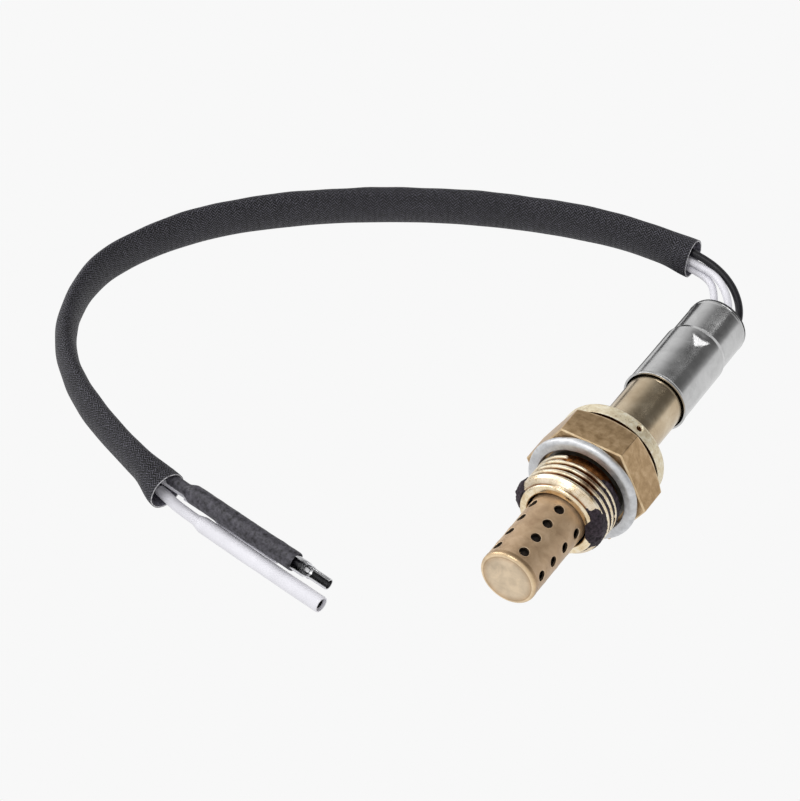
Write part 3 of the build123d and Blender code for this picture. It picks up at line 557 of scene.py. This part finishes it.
def paper_floor():
    """White paper that glows, with a dark strip that only reflections show."""
    corners = [(x * FLOOR_HALF, y * FLOOR_HALF, FLOOR_Z) for x, y in ((-1, -1), (1, -1), (1, 1), (-1, 1))]
    mesh = bpy.data.meshes.new("floor")
    mesh.from_pydata(corners, [], [(0, 1, 2, 3)])
    obj = add("floor", mesh)
    mat = bpy.data.materials.new("floor_paper")
    mat.use_nodes = True
    nt = mat.node_tree
    nt.nodes.remove(nt.nodes["Principled BSDF"])
    path = node(nt, "LightPath")
    glow = node(nt, "Emission", {"Color": srgb(248, 248, 248), "Strength": 1})
    # the strip lies beside the rear of the sensor, at x -22 to -10 mm and y 15 to 85 mm
    spot = node(nt, "SeparateXYZ", {"Vector": node(nt, "TexCoord").outputs["Object"]})
    across = ramp(nt, maths(nt, "MULTIPLY", spot.outputs["X"], -20),
                  (0.20, 0), (0.24, 1), (0.34, 1), (0.44, 0))
    lengthways = ramp(nt, maths(nt, "MULTIPLY", spot.outputs["Y"], 10),
                      (0.15, 0), (0.25, 1), (0.70, 1), (0.85, 0))
    strip = blend(nt, 1, across, lengthways, "MULTIPLY")
    shade = blend(nt, strip, (1, 1, 1, 1), (0.08, 0.08, 0.08, 1))
    bounce = node(nt, "Emission", {"Color": shade, "Strength": 0.9})
    seen = path.outputs["Is Camera Ray"]
    pick = node(nt, "MixShader", {0: seen, 1: bounce.outputs[0], 2: glow.outputs[0]})
    nt.links.new(pick.outputs[0], nt.nodes["Material Output"].inputs["Surface"])
    mesh.materials.append(mat)


def tent():
    """A bright tent with a dark board behind the rear of the sensor, above a white sweep."""
    world = bpy.data.worlds.new("tent")
    bpy.context.scene.world = world
    world.use_nodes = True
    nt = world.node_tree
    back = nt.nodes["Background"]
    way = node(nt, "TexCoord").outputs["Generated"]
    board = node(nt, "VectorMath", {0: way, 1: (0.296, 0.814, 0.5)}, operation="DOT_PRODUCT")
    dome = ramp(nt, board.outputs["Value"],
                (0.50, 1), (0.70, 0.76), (0.835, 0.42), (0.92, 0.20), (0.97, 0.16))
    height = node(nt, "SeparateXYZ", {"Vector": way}).outputs["Z"]
    sweep = ramp(nt, height, (0.045, 1), (0.085, 0))
    nt.links.new(blend(nt, sweep, dome, (0.95, 0.95, 0.95, 1)), back.inputs["Color"])
    back.inputs["Strength"].default_value = 0.9


def softbox(name, where, size, power):
    """A rectangular lamp (metres, watts) that faces the row's origin."""
    data = bpy.data.lights.new(name, "AREA")
    data.shape = "RECTANGLE"
    data.size, data.size_y = size
    data.energy = power
    obj = add(name, data)
    obj.location = where
    obj.rotation_euler = (-Vector(where)).to_track_quat("-Z", "Y").to_euler()


photo_camera()
paper_floor()
tent()
softbox("softbox_left", (-0.65, 0.05, 0.35), (0.35, 0.5), 1.6)
softbox("softbox_top", (-0.15, -0.30, 0.75), (0.30, 0.25), 1.6)
softbox("strip_rear", (0.03, 0.46, 0.25), (0.24, 0.045), 0.11)


# ---- cords
def spline(name, points, radius, material=None, segments=12):
    """A smooth NURBS cord with these control points, in millimetres."""
    curve = bpy.data.curves.new(name, "CURVE")
    curve.dimensions = "3D"
    curve.resolution_u = segments
    line = curve.splines.new("NURBS")
    line.points.add(len(points) - 1)
    for point, p in zip(line.points, points):
        point.co = (p[0] * MM, p[1] * MM, p[2] * MM, 1)
    line.order_u = 3
    line.use_endpoint_u = True
    curve.bevel_depth = radius * MM
    curve.bevel_resolution = 6
    curve.use_fill_caps = radius > 0
    if material:
        curve.materials.append(material)
    return add(name, curve)


def length_of(line):
    return sum((b - a).length for a, b in zip(line, line[1:]))


def even(line, step):
    """Points along the same line, about a step apart."""
    total = length_of(line)
    n = max(2, round(total / step))
    out, done, i = [line[0].copy()], 0, 0
    for k in range(1, n):
        want = total * k / n
        while done + (line[i + 1] - line[i]).length < want:
            done += (line[i + 1] - line[i]).length
            i += 1
        a, b = line[i], line[i + 1]
        out.append(a + (b - a) * ((want - done) / (b - a).length))
    out.append(line[-1].copy())
    return out


def centreline(points):
    """Points along the smooth spline of a route, in millimetres, evenly spaced."""
    obj = spline("route_helper", points, 0, segments=24)
    mesh = bpy.data.meshes.new_from_object(obj)
    line = [v.co / MM for v in mesh.vertices]
    bpy.data.meshes.remove(mesh)
    curve = obj.data
    bpy.data.objects.remove(obj)
    bpy.data.curves.remove(curve)
    return even(line, 0.5)


def along(name, line, section, material, sides):
    """A skin along a line: section(distance, angle) gives (sideways, upwards), in mm."""
    verts, coords = [], []
    done = 0
    for i, p in enumerate(line):
        if i:
            done += (p - line[i - 1]).length
        run = (line[min(i + 1, len(line) - 1)] - line[max(i - 1, 0)]).normalized()
        side = run.cross(UP).normalized()
        up = side.cross(run)
        round_way, last = 0, None
        for k in range(sides):
            x, y = section(done, 360 * k / sides)
            round_way += dist(last, (x, y)) if last else 0
            last = (x, y)
            verts.append((p + side * x + up * y) * MM)
            coords.append((done / 10, round_way / 10))
    obj = make(name, verts, grid(len(line), sides, flip=True), material, None, 40)
    layer = obj.data.uv_layers.new(name="UVMap")
    for poly in obj.data.polygons:
        top = max(coords[v][1] for v in poly.vertices)
        for loop, vert in zip(poly.loop_indices, poly.vertices):
            u, v = coords[vert]
            # a face that closes the round ends beyond its start, not back at zero
            closes = vert % sides == 0 and top > 0.3
            layer.data[loop].uv = (u, top + 0.02 if closes else v)
    return obj


# ---- woven sleeve
SLEEVE_LINE = centreline([(x, y, SLEEVE_Z) for x, y in SLEEVE_ROUTE])
SLEEVE_LENGTH = length_of(SLEEVE_LINE)


def sleeve_size(done):
    """Half width and half height at a distance from the near mouth."""
    near, far = 1 - ease(0, 7.5, done), ease(SLEEVE_LENGTH - 9, SLEEVE_LENGTH, done)
    bend = exp(-((done - 121) / 26) ** 2)
    half_w = 2.25 - 0.5 * bend + 1.3 * near + 1.7 * far
    half_h = 4.55 - 0.15 * near - 0.6 * far
    ripple = 0.06 * sin(done * 0.31) + 0.03 * sin(done * 0.83 + 1)
    return half_w + ripple * (1 - near) * (1 - far), half_h + ripple * 0.5 * (1 - near - far)


def sleeve_section(inset=0, start=0):
    """Section of the sleeve, inset by a wall; start is where its distances begin."""
    def section(done, deg):
        done += start
        half_w, half_h = sleeve_size(done)
        x, y = circle(deg)
        lump = noise_at(done * 0.22, *circle(deg, 1.7))
        return (half_w - inset) * x * (1 + 0.03 * lump), (half_h - inset) * y + half_h - SLEEVE_Z
    return section


def sleeve():
    outer = along("woven_sleeve_skin", SLEEVE_LINE, sleeve_section(), WEAVE, 72)
    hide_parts("woven_sleeve")
    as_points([tuple(p * MM) for p in SLEEVE_LINE[::4]] + [
                tuple(SLEEVE_LINE[-1] * MM)])
    sleeve_mouth("near", SLEEVE_LINE[:26], 0)
    sleeve_mouth("far", SLEEVE_LINE[:-27:-1], SLEEVE_LENGTH)


def sleeve_mouth(end, inwards, mouth_at):
    """Lining behind a mouth and the roll of cut thread ends round it."""
    near = end == "near"
    line = inwards if near else inwards[::-1]
    start = 0 if near else SLEEVE_LENGTH - length_of(line)
    piece = along(f"sleeve_lining_{end}", line, sleeve_section(SLEEVE_WALL, start), LINING, 72)
    piece.data.flip_normals()

    out = (inwards[0] - inwards[1]).normalized()
    side = out.cross(UP).normalized() * (-1 if near else 1)
    section = sleeve_section(SLEEVE_WALL / 2, mouth_at)
    ring = []
    for k in range(96):
        x, y = section(0, 360 * k / 96)
        ragged = 0.16 * noise_at(k * 0.7, 3 if near else 9, 0)
        ring.append(inwards[0] + side * x + UP * y + out * (ragged - 0.05))
    roll(f"sleeve_rim_{end}", ring, 0.13, RIM_THREAD)


def roll(name, ring, radius, material, sides=8):
    """A thin roll along a closed ring of points (mm)."""
    verts = []
    n = len(ring)
    centre = sum(ring, Vector()) / n
    for i, p in enumerate(ring):
        run = (ring[(i + 1) % n] - ring[i - 1]).normalized()
        across = run.cross((p - centre).normalized()).normalized()
        out = across.cross(run)
        for k in range(sides):
            a = 2 * pi * k / sides
            verts.append((p + out * cos(a) * radius + across * sin(a) * radius) * MM)
    return make(name, verts, wrapped(grid(n + 1, sides), len(verts)), material)


# ---- leads, shrink tubes and splices
def is_black(name):
    return name == "black_wire"


def leads():
    """The three leads, each with its object and the points along it."""
    lines = {}
    for name, route in LEADS.items():
        points = route["near"] + [(x, y, route["z"]) for x, y in SLEEVE_ROUTE[1:-1]] + route["far"]
        obj = spline(f"{name}_lead", points, LEAD_D / 2, BLACK if is_black(name) else WHITE)
        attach(obj, "root")
        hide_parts(name)
        lines[name] = (obj, centreline(points))
    return lines


def shrink_tube(name, lead_line):
    """Shrink tube along its lead: skin, rounded lip and the bore behind it."""
    sides, lip = 56, 0.18
    size = TUBE_SIZE["black" if is_black(name) else "white"]
    material = BLACK_SHRINK if is_black(name) else WHITE_SHRINK
    start_x, swells, end = LEADS[name]["tube"]
    line = [p for p in lead_line if start_x < p.x < end[0] - 0.6 and p.y < -40]
    line = even(line + [Vector(end)], 0.35)
    total = length_of(line)

    def outer(done, deg):
        p = line[min(len(line) - 1, round(done / total * (len(line) - 1)))]
        swell = ease(*swells, p.x)
        r = size["narrow"] + (size["wide"] - size["narrow"]) * swell
        r += size["lump_height"] * noise_at(done * size["lumps"], *circle(deg, 1.1)) * swell
        r -= 0.07 * (max(0, done - (total - lip)) / lip) ** 2
        x, y = circle(deg, r)
        # it lies on the ground, and never below it
        return x, max(y, 0.02 - p.z)

    def inner(done, deg):
        return circle(deg, size["bore"])

    skin = along(f"{name}_shrink_skin", line, outer, material, sides)
    bore = along(f"{name}_shrink_bore", line[-9:], inner, material, sides)
    bore.data.flip_normals()
    ends = [Vector(v.co) for piece in (skin, bore) for v in piece.data.vertices[-sides:]]
    rim = make(f"{name}_shrink_rim", ends, grid(2, sides, flip=True), material)
    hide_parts(f"shrink_tube_{name.replace('_wire', '')}")
    return [skin, bore, rim]


def sheet_shell(name, frame_at, lift, rows, shade_from):
    """Bent sheet from rows of (z, radius, (from_deg, to_deg)), with the inside behind a z painted dark as
    shade.
    """
    n = 28
    w = 2 * (n + 1)
    verts = []
    for z, radius, (low, high) in rows:
        angles = [radians(low + (high - low) * k / n) for k in range(n + 1)]
        # a closed loop: out along the outer face and back along the inner one
        for r, way in ((radius, angles), (radius - SHEET, angles[::-1])):
            verts += [frame_at(r * cos(a), lift + r * sin(a), z) for a in way]
    faces = grid(len(rows), w)
    back = len(verts) - w
    faces += [(k, w - 1 - k, w - 2 - k, k + 1) for k in range(n)]
    faces += [(back + k, back + k + 1, back + w - 2 - k, back + w - 1 - k) for k in range(n)]
    piece = make(name, verts, faces, [TINNED, TIN_INSIDE_SHADE], None, 50)
    for i, row in enumerate(rows[:-1]):
        for k in range(n + 1, w - 1):
            piece.data.polygons[i * w + k].material_index = int(row[0] > shade_from)
    return piece


def splice(name):
    """Open-barrel splice: wings round the insulation, a trough and a rolled barrel with a seam."""
    size = SPLICE_SIZE["black" if is_black(name) else "white"]
    start, end = (Vector(p) for p in LEADS[name]["splice"])
    run = (end - start).normalized()
    level = run.cross(UP).normalized()
    roll_by = radians(size["turn"])
    up = level.cross(run) * cos(roll_by) + level * sin(roll_by)
    side = run.cross(up)

    def frame_at(x, y, z):
        return (start + side * x + up * y + run * z) * MM

    wing = size["wing"]
    neck = min(wing, BARREL_R + 0.15)
    gaps = (size["open"], TROUGH_OPEN, BARREL_OPEN)
    wings, trough, barrel = ((90 + half, 450 - half) for half in gaps)
    rows = [(0, wing, wings), (0.08, wing + 0.02, wings), (WING_END - 0.15, wing + 0.02, wings),
            (WING_END, wing - 0.03, wings),
            (WING_END + 0.08, neck, trough), (TROUGH_END, neck - 0.06, trough),
            (TROUGH_END + 0.08, neck, barrel), (TROUGH_END + 0.24, BARREL_R + 0.17, barrel),
            (TROUGH_END + 0.4, BARREL_R + 0.12, barrel), (TROUGH_END + 0.64, BARREL_R, barrel),
            (BARREL_END - 0.2, BARREL_R, barrel), (BARREL_END, BARREL_R - 0.03, barrel)]
    piece = sheet_shell(f"{name}_splice", frame_at, wing - SHEET - LEAD_D / 2, rows, TROUGH_END - 0.06)
    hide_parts(f"splice_terminal_{name.replace('_wire', '')}")
    return piece


lead_lines = leads()
sleeve()
for lead_name, (lead, lead_line) in lead_lines.items():
    extras = shrink_tube(lead_name, lead_line) + [splice(lead_name)]
    hole = at(EXIT_S, EXIT_R, LEADS[lead_name]["angle"])


# ---- protection tubes
def perforated(name, radius, wall, hole_r, columns, rows, first_deg, first_s, pitch, front, rear, skin, rim):
    """Drilled tube: each hole sits in a cell, with a rounded edge and a wall."""
    # loops round a hole, as distance beyond its radius and depth below the skin
    loops = ((0.24, 0), (0.1, 0.01), (0.03, 0.04), (0, 0.1), (-0.02, 0.17), (-0.02, wall))
    # material of the faces in front of each loop: skin, rim or wall
    loop_looks = (0, 0, 1, 1, 2, 2)
    across, upright = 14, 10
    half = 180 / columns
    per_mm = 180 / (pi * radius)
    verts, faces, looks = [], [], []
    for row in range(rows):
        centre = first_s + pitch * row
        low = front if row == 0 else centre - pitch / 2
        high = rear if row == rows - 1 else centre + pitch / 2
        wide, tall = 2 * half / across, (high - low) / upright
        cell = [(-half + wide * k, low) for k in range(across)]
        cell += [(half, low + tall * k) for k in range(upright)]
        cell += [(half - wide * k, high) for k in range(across)]
        cell += [(-half, high - tall * k) for k in range(upright)]
        for column in range(columns):
            deg0 = first_deg + 2 * half * column
            faces += grid(len(loops) + 1, len(cell), base=len(verts))
            looks += [look for look in loop_looks for _ in cell]
            verts += [at(s, radius, deg0 + d) for d, s in cell]
            for beyond, depth in loops:
                for d, s in cell:
                    x, y = d / per_mm, s - centre
                    reach = (hole_r + beyond) / hypot(x, y)
                    verts.append(at(centre + y * reach, radius - depth, deg0 + x * reach * per_mm))
    obj = make(name, verts, faces, [skin, rim, HOLE_WALL_SHADE])
    for poly, look in zip(obj.data.polygons, looks):
        poly.material_index = look
    weld(obj)
    return obj


def weld(obj, distance=0.00001):
    bm = bmesh.new()
    bm.from_mesh(obj.data)
    bmesh.ops.remove_doubles(bm, verts=bm.verts, dist=distance)
    bm.to_mesh(obj.data)
    bm.free()


def outer_tube():
    radius, flat_end = OUTER_TUBE["radius"], OUTER_TUBE["front"]
    skin = perforated("outer_tube_holes", skin=TUBE, rim=HOLE_RIM, **OUTER_TUBE)
    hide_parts("outer_protection_tube")

    def dented(s, r, deg):
        dip = 0.05 * noise_at(*circle(deg, r * 0.5), 2)
        dish = TIP_DISH * (1 - ease(4.55, 4.95, r))
        return s + 0.03 + dish + dip * max(0, 1 - r / 5.2), r, deg

    edge = rounded([(0, 0), (0, radius, TIP_ROUND), (flat_end, radius)], 10)
    end = [(0, 0.05)] + dense([(0, 0.3)] + edge[1:], 0.16)
    cap = lathe("outer_tube_end", end, TIP_END, turn(84), dented, capped=True)


def inner_tube():
    radius, nose_end = INNER_TUBE["radius"], INNER_TUBE["front"]
    inner = perforated("inner_tube_holes", skin=INNER_SHADED_STEEL, rim=INNER_SHADED_STEEL, **INNER_TUBE)
    edge = rounded([(INNER_NOSE, 0.05), (INNER_NOSE, radius, INNER_NOSE_ROUND), (nose_end, radius)], 8)
    nose = lathe("inner_tube_end", edge, INNER_SHADED_STEEL, turn(84), capped=True)
    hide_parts("inner_protection_tube")


# ---- body
def hex_radius(deg, apothem, round_r=0.22):
    """Radius of a hexagon with rounded corners; its flats face 0, 60, 120 ... degrees."""
    from_corner = abs((deg % 60) - 30)
    tilt = radians(30)
    d = (apothem - round_r) / cos(tilt)
    limit = degrees(atan2(round_r * 0.5, d + round_r * cos(tilt)))
    if from_corner < limit:
        a = radians(from_corner)
        return d * cos(a) + sqrt(round_r ** 2 - (d * sin(a)) ** 2)
    return apothem / cos(radians(30 - from_corner))


def hex_part():
    """Hex with bevelled front edges, and a rear chamfer with a burr along its front; the bevel and a strip
    just in front of the chamfer carry painted highlight, and the rear face painted shade.
    """
    by_corner = (-1.1, -0.75, -0.5, -0.25, 0, 0.25, 0.5, 0.75, 1.1)
    on_flat = (*range(-27, 26, 4), 28)
    angles = sorted((60 * side + d) % 360 for side in range(6)
                    for d in [30 + k for k in by_corner] + [60 + k for k in on_flat])
    half = HEX_AF / 2
    slope = tan(radians(HEX_CHAMFER_DEG))
    verts, uvs = [], []
    for deg in angles:
        full = hex_radius(deg, half)
        front = hex_radius(deg, half - HEX_BEVEL)
        # the rear chamfer is a cone, so it starts sooner near a corner
        meet = HEX_REAR - (full - half) * slope
        dulled = 0.08 if full > half + 0.05 else 0.01
        column = [(HEX_FRONT, 8.6), (HEX_FRONT, front - 0.05), (HEX_FRONT + 0.04, front + 0.02),
                  (HEX_FRONT + 0.22, full - 0.02), (HEX_FRONT + 0.28, full), (meet - 0.26, full),
                  (meet - 0.06, full), (meet + 0.05, full - dulled), (HEX_REAR - 0.03, half - 0.02),
                  (HEX_REAR, half - 0.08), (HEX_REAR, 9.9)]
        verts += [at(s, r, deg) for s, r in column]
        uvs += [(deg / 360, s / 100) for s, r in column]
    rows = len(column)
    faces = wrapped(grid(len(angles) + 1, rows, closed=False, flip=True), len(verts))
    piece = make("hex_flats", verts, faces, [HEX_SKIN, BEVEL_HIGHLIGHT, RECESS_SHADE], uvs, 24)
    # rows painted lighter as highlight, and the rear face painted dark as shade
    highlight_rows, shade_row = (1, 2, 3, 5), rows - 2
    for poly in piece.data.polygons:
        row = min(v % rows for v in poly.vertices)
        poly.material_index = 1 if row in highlight_rows else 2 if row == shade_row else 0


def lead_in(s):
    """The rounded front of the body, up to the crests."""
    for (s0, r0), (s1, r1) in zip(LEAD_IN, LEAD_IN[1:]):
        if s <= s1:
            return r0 + (r1 - r0) * max(0, s - s0) / (s1 - s0)
    return CREST_R


def thread_radius(s, deg):
    """Crest, flank and root of the thread, which starts and ends part of a turn."""
    turns = (s - FIRST_CREST - PITCH * deg / 360) / PITCH
    crest = floor(turns + 0.5)
    height = min(1, max(0, (0.92 - 2 * abs(turns - crest)) / 0.55))
    height = height * height * (3 - 2 * height) * 0.4 + height * 0.6
    if turns < 0:
        # the first groove deepens away from the top, and there is none in front of it
        first = max(ease(30, 110, deg), 1 - ease(-150, -60, deg))
        height = 1 - (1 - height) * first if turns > -1 else 1
    if turns > 3:
        # the last crest breaks off just before the top
        last = 1 - ease(-21, -15, deg)
        height *= last if turns > 3.5 else max(last, 1 - ease(3, 3.45, turns))
    r = ROOT_R + (CREST_R - ROOT_R) * height
    # a groove behind the lip, shallow at the top
    shallow = 0.8 * exp(-((deg + 2) / 14) ** 2)
    lip_groove = 0.34 * exp(-((s - 18.70) / 0.14) ** 2) * (1 - shallow)
    run_out = NECK_R + max(0, 26.75 - s) * 2
    return min(r, lead_in(s) - lip_groove, run_out)


def crest_shine(s, r, deg):
    """1 on a crest painted light as highlight, 0 in a groove painted dark as shade, with a worn band along
    the paste's edge.
    """
    height = (r - min(8.62, lead_in(s) - 0.26)) / 0.18
    worn = 1 - 0.75 * exp(-((deg - 22 - 1.5 * (24.5 - s)) / 10) ** 4) * ease(20.4, 21.2, s)
    return min(1, max(0, height)) * worn * (0.78 + 0.22 * ease(19.8, 20.3, s))


def thread_part():
    steps, rows = 180, 148
    verts, uvs, shine = [], [], []
    for i in range(rows + 1):
        s = LIP_REAR + (THREAD_REAR - LIP_REAR) * i / rows
        for k in range(steps):
            deg = 360 * k / steps - 180
            r = thread_radius(s, deg)
            verts.append(at(s, r, deg))
            uvs.append((k / steps, s / 100))
            shine.append(crest_shine(s, r, deg))
    piece = make("thread_turns", verts, grid(rows + 1, steps), THREAD, uvs, 60)
    layer = piece.data.color_attributes.new(name="crest", type="FLOAT_COLOR", domain="POINT")
    for item, value in zip(layer.data, shine):
        item.color = (value, value, value, 1)
    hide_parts("hex_body")


def collar():
    """Crimped collar, a little uneven, with a pit whose bottom is painted dark as shade."""
    mm_per_degree = 0.19

    def crimped(s, r, deg):
        lump = noise_at(s * 0.9, *circle(deg, 3.2))
        from_pit = hypot(s - PIT_S, (deg - PIT_DEG) * mm_per_degree)
        return s, r + 0.035 * lump - 0.75 * exp(-(from_pit / 0.62) ** 6), deg

    profile = rounded([(COLLAR_FRONT, 10.74), (COLLAR_FRONT, COLLAR_R, 0.06),
                       (COLLAR_REAR, COLLAR_R, COLLAR_ROUND), (COLLAR_REAR, 6.5, 0.35),
                       (COLLAR_REAR - 0.2, 6.02)], 8)
    angles = sorted({k * 2 for k in range(180)} | {PIT_DEG + k * 0.5 for k in range(-10, 11)})
    piece = lathe("body_collar", dense(profile, 0.15), [COLLAR, RECESS_SHADE], angles, crimped)
    bottom = at(PIT_S, 10.4, PIT_DEG)
    for poly in piece.data.polygons:
        poly.material_index = int((poly.center - bottom).length < 0.56 * MM)


def body():
    thread_part()
    front, bore = LIP_FRONT, LIP_BORE_R
    lip = rounded([(front + 0.9, bore), (front, bore, 0.3), (front, 7)], 7)
    for a in (0.26, 0.52, 0.79, 1.05, 1.31, 1.52):
        lip.append((front + 0.42 * (1 - cos(a)), 7 + 0.72 * sin(a)))
    lathe("body_lip", lip, LIP, turn(120))
    neck = [(27.6, NECK_R), (27.7, UNDERCUT_R), (HEX_FRONT + 0.02, UNDERCUT_R), (HEX_FRONT + 0.02, 8.8)]
    lathe("body_undercut", neck, DARK_STEEL, turn(96))
    hex_part()
    # the groove between hex and collar, painted dark as shade
    slit = [(HEX_REAR - 0.1, 9.7), (HEX_REAR - 0.02, GROOVE_R), (COLLAR_FRONT - 0.05, GROOVE_R),
            (COLLAR_FRONT, GROOVE_R + 0.05), (COLLAR_FRONT, 10.76)]
    lathe("body_groove", slit, RECESS_SHADE, turn(120))
    collar()


# ---- sealing ring and paste
def gasket():
    """Ring folded from sheet, a little uneven round the fold."""
    def uneven(s, r, deg):
        wave = noise_at(*circle(deg, 1.6), 4)
        fine = noise_at(*circle(deg, 7), s)
        return s, r + 0.05 * wave + 0.015 * fine - 0.02, deg

    front, rear, bore = GASKET_FRONT, GASKET_REAR, GASKET_BORE_R
    half = [(0.7, bore + 0.3), (0.62, bore, 0.25), (0, bore + 0.1, 0.25), (0, GASKET_R, 0.97)]
    whole = [(front + s, *rest) for s, *rest in half] + [(rear - s, *rest) for s, *rest in half[::-1]]
    ring = lathe("gasket_ring", dense(rounded(whole, 10), 0.4), GASKET, turn(150), uneven)
    inside = [(front + 0.7, bore + 0.3), (front + 0.7, 10.4), (rear - 0.7, 10.4), (rear - 0.7, bore + 0.3)]
    fold = lathe("gasket_fold", inside, DARK_STEEL, turn(96))
    fold.data.flip_normals()
    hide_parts("sealing_gasket")


def paste_fill(s, deg, low, high, rear, spot):
    """How far paste fills the grooves, 0 to 1, and how far a lump bulges (mm)."""
    inside = ease(low + 6, low + 30, deg) * (1 - ease(high - 26, high, deg))
    inside *= ease(LIP_REAR - 0.2, LIP_REAR + 0.5, s) * (1 - ease(rear - 1.2, rear, s))
    lumps, bulge = 0, 0
    for lump_deg, lump_s, wide, long, tall in PASTE_LUMPS:
        far = ((deg - lump_deg) / wide) ** 2 + ((s - lump_s) / long) ** 2
        lumps += exp(-far * far)
        bulge += tall * exp(-far * far) * (1 + 0.5 * noise.noise(spot * 1.6))
    level = 1.7 * inside + 0.9 * noise.noise(spot * 0.8) - 0.35 + 1.6 * lumps
    return min(1, max(0, level)), bulge


def paste_point(s, deg, level, bulge, crumbs):
    """Station and radius: in the grooves, or over the lip and down its front."""
    if s > LIP_REAR:
        r = lead_in(s) - 1 + 0.89 * level + crumbs + bulge
        return s, min(r, PASTE_TOP_R["right" if deg > 0 else "left"])
    fold = LIP_REAR - s
    turned = ease(0, 0.4, fold)
    sunk = 0.7 * (1 - level) - abs(crumbs) - 0.1
    r = 7.9 - 0.25 * turned - 1.3 * max(0, fold - 0.2)
    return LIP_REAR - 0.48 * ease(0, 0.45, fold) + sunk, r - sunk * (1 - turned)


def paste():
    """Grainy paste on two sides; where it fills little it stays hidden in the body."""
    verts, faces = [], []
    for low, high, front, rear in PASTE_PATCHES:
        n, m = round((high - low) / 1.3), round((rear - front) / 0.1)
        faces += grid(m + 1, n + 1, closed=False, base=len(verts))
        for i in range(m + 1):
            for k in range(n + 1):
                s, deg = front + (rear - front) * i / m, low + (high - low) * k / n
                spot = Vector((s, *circle(deg, 9)))
                level, bulge = paste_fill(s, deg, low, high, rear, spot)
                crumbs = 0.10 * noise.noise(spot * 3.1) + 0.05 * noise.noise(spot * 6.3)
                verts.append(at(*paste_point(s, deg, level, bulge, crumbs), deg))
    piece = make("paste_lumps", verts, faces, PASTE, None, 60)
    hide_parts("anti_seize_paste")


# ---- sheath, shroud, grommet
def sheath():
    end = SHEATH_REAR - 0.4
    profile = [(SHEATH_FRONT, SHEATH_R), (end, SHEATH_R), (end + 0.3, 5.7), (SHEATH_REAR, 4.4)]
    skin = lathe("sheath_skin", dense(profile, 1), SHEATH, turn(128))
    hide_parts("sheath_tube")


def shroud():
    """Drawn tube with a flared skirt in front and a narrower part behind its shoulder."""
    def drawn(s, r, deg):
        from_top = (deg + 180) % 360 - 180
        wave = noise_at(s * 0.12, *circle(deg, 0.9))
        fade = ease(57.8, 60.5, s) * (1 - ease(80, 83, s))
        # a shallow facet that the crimping tool left below the shoulder
        start = 68.8 + 0.17 * abs(from_top - 15)
        facet = 0.09 * min(3.4, max(0, s - start)) * (1 - ease(71.6, 73.6, s))
        return s, r + 0.02 * wave * fade - facet, deg

    front, rear = SHROUD_FRONT, SHROUD_REAR
    outside = rounded([(front, 6.36), (front, SKIRT_R, 0.1), (front + 0.35, SKIRT_R, 0.15),
                       (front + 0.7, SHROUD_R, 0.3), (SHOULDER, SHROUD_R - 0.03, 0.6),
                       (SHOULDER + 1, CRIMPED_R, 0.6), (rear - 0.85, CRIMPED_R - 0.02, 0.3),
                       (rear - 0.6, 6.27, 0.2), (rear, 6.25, 0.3), (rear, 5.72)], 8)
    skin = lathe("shroud_skin", dense(outside, 0.3), SHROUD, turn(180), drawn)
    inside = [(rear, 5.68), (75.2, 5.66), (73.4, 5.98), (60.4, 6.04), (front + 0.5, 6.34), (front, 6.38)]
    bore = lathe("shroud_bore", inside, DARK_STEEL, turn(96))
    bore.data.flip_normals()
    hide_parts("rear_shroud")


def grommet_rim():
    """The grommet's edge where it bulges over the shroud's rim."""
    rim, rear = SHROUD_REAR, GROMMET_REAR
    lip = [(rim - 0.02, 5.9), (rim + 0.02, 6.1), (rim + 0.2, 6.18), (rear - 0.12, 6.1), (rear, 5.8),
           (rear, 4.4)]
    lathe("grommet_lip", lip, RUBBER, turn(120))


outer_tube()
inner_tube()
body()
gasket()
paste()
sheath()
shroud()
grommet_rim()

# the CAD pieces that stay: the grommet shows at the rear, the others are inside
KEPT = (
    (RUBBER, ("grommet",)),
    (CERAMIC, ("zirconia_thimble", "ceramic_support_tube", "terminal_insulator", "heater_rod")),
    (TALC, ("talc_ring",)),
    (DARK_STEEL, ("element_seal_washer", "retaining_ring", "disc_spring", "signal_contact",
                  "heater_contact_a", "heater_contact_b")),
)
for material, titles in KEPT:
    for title in titles:
        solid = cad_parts[title]
        solid.data.materials.clear()
        solid.data.materials.append(material)
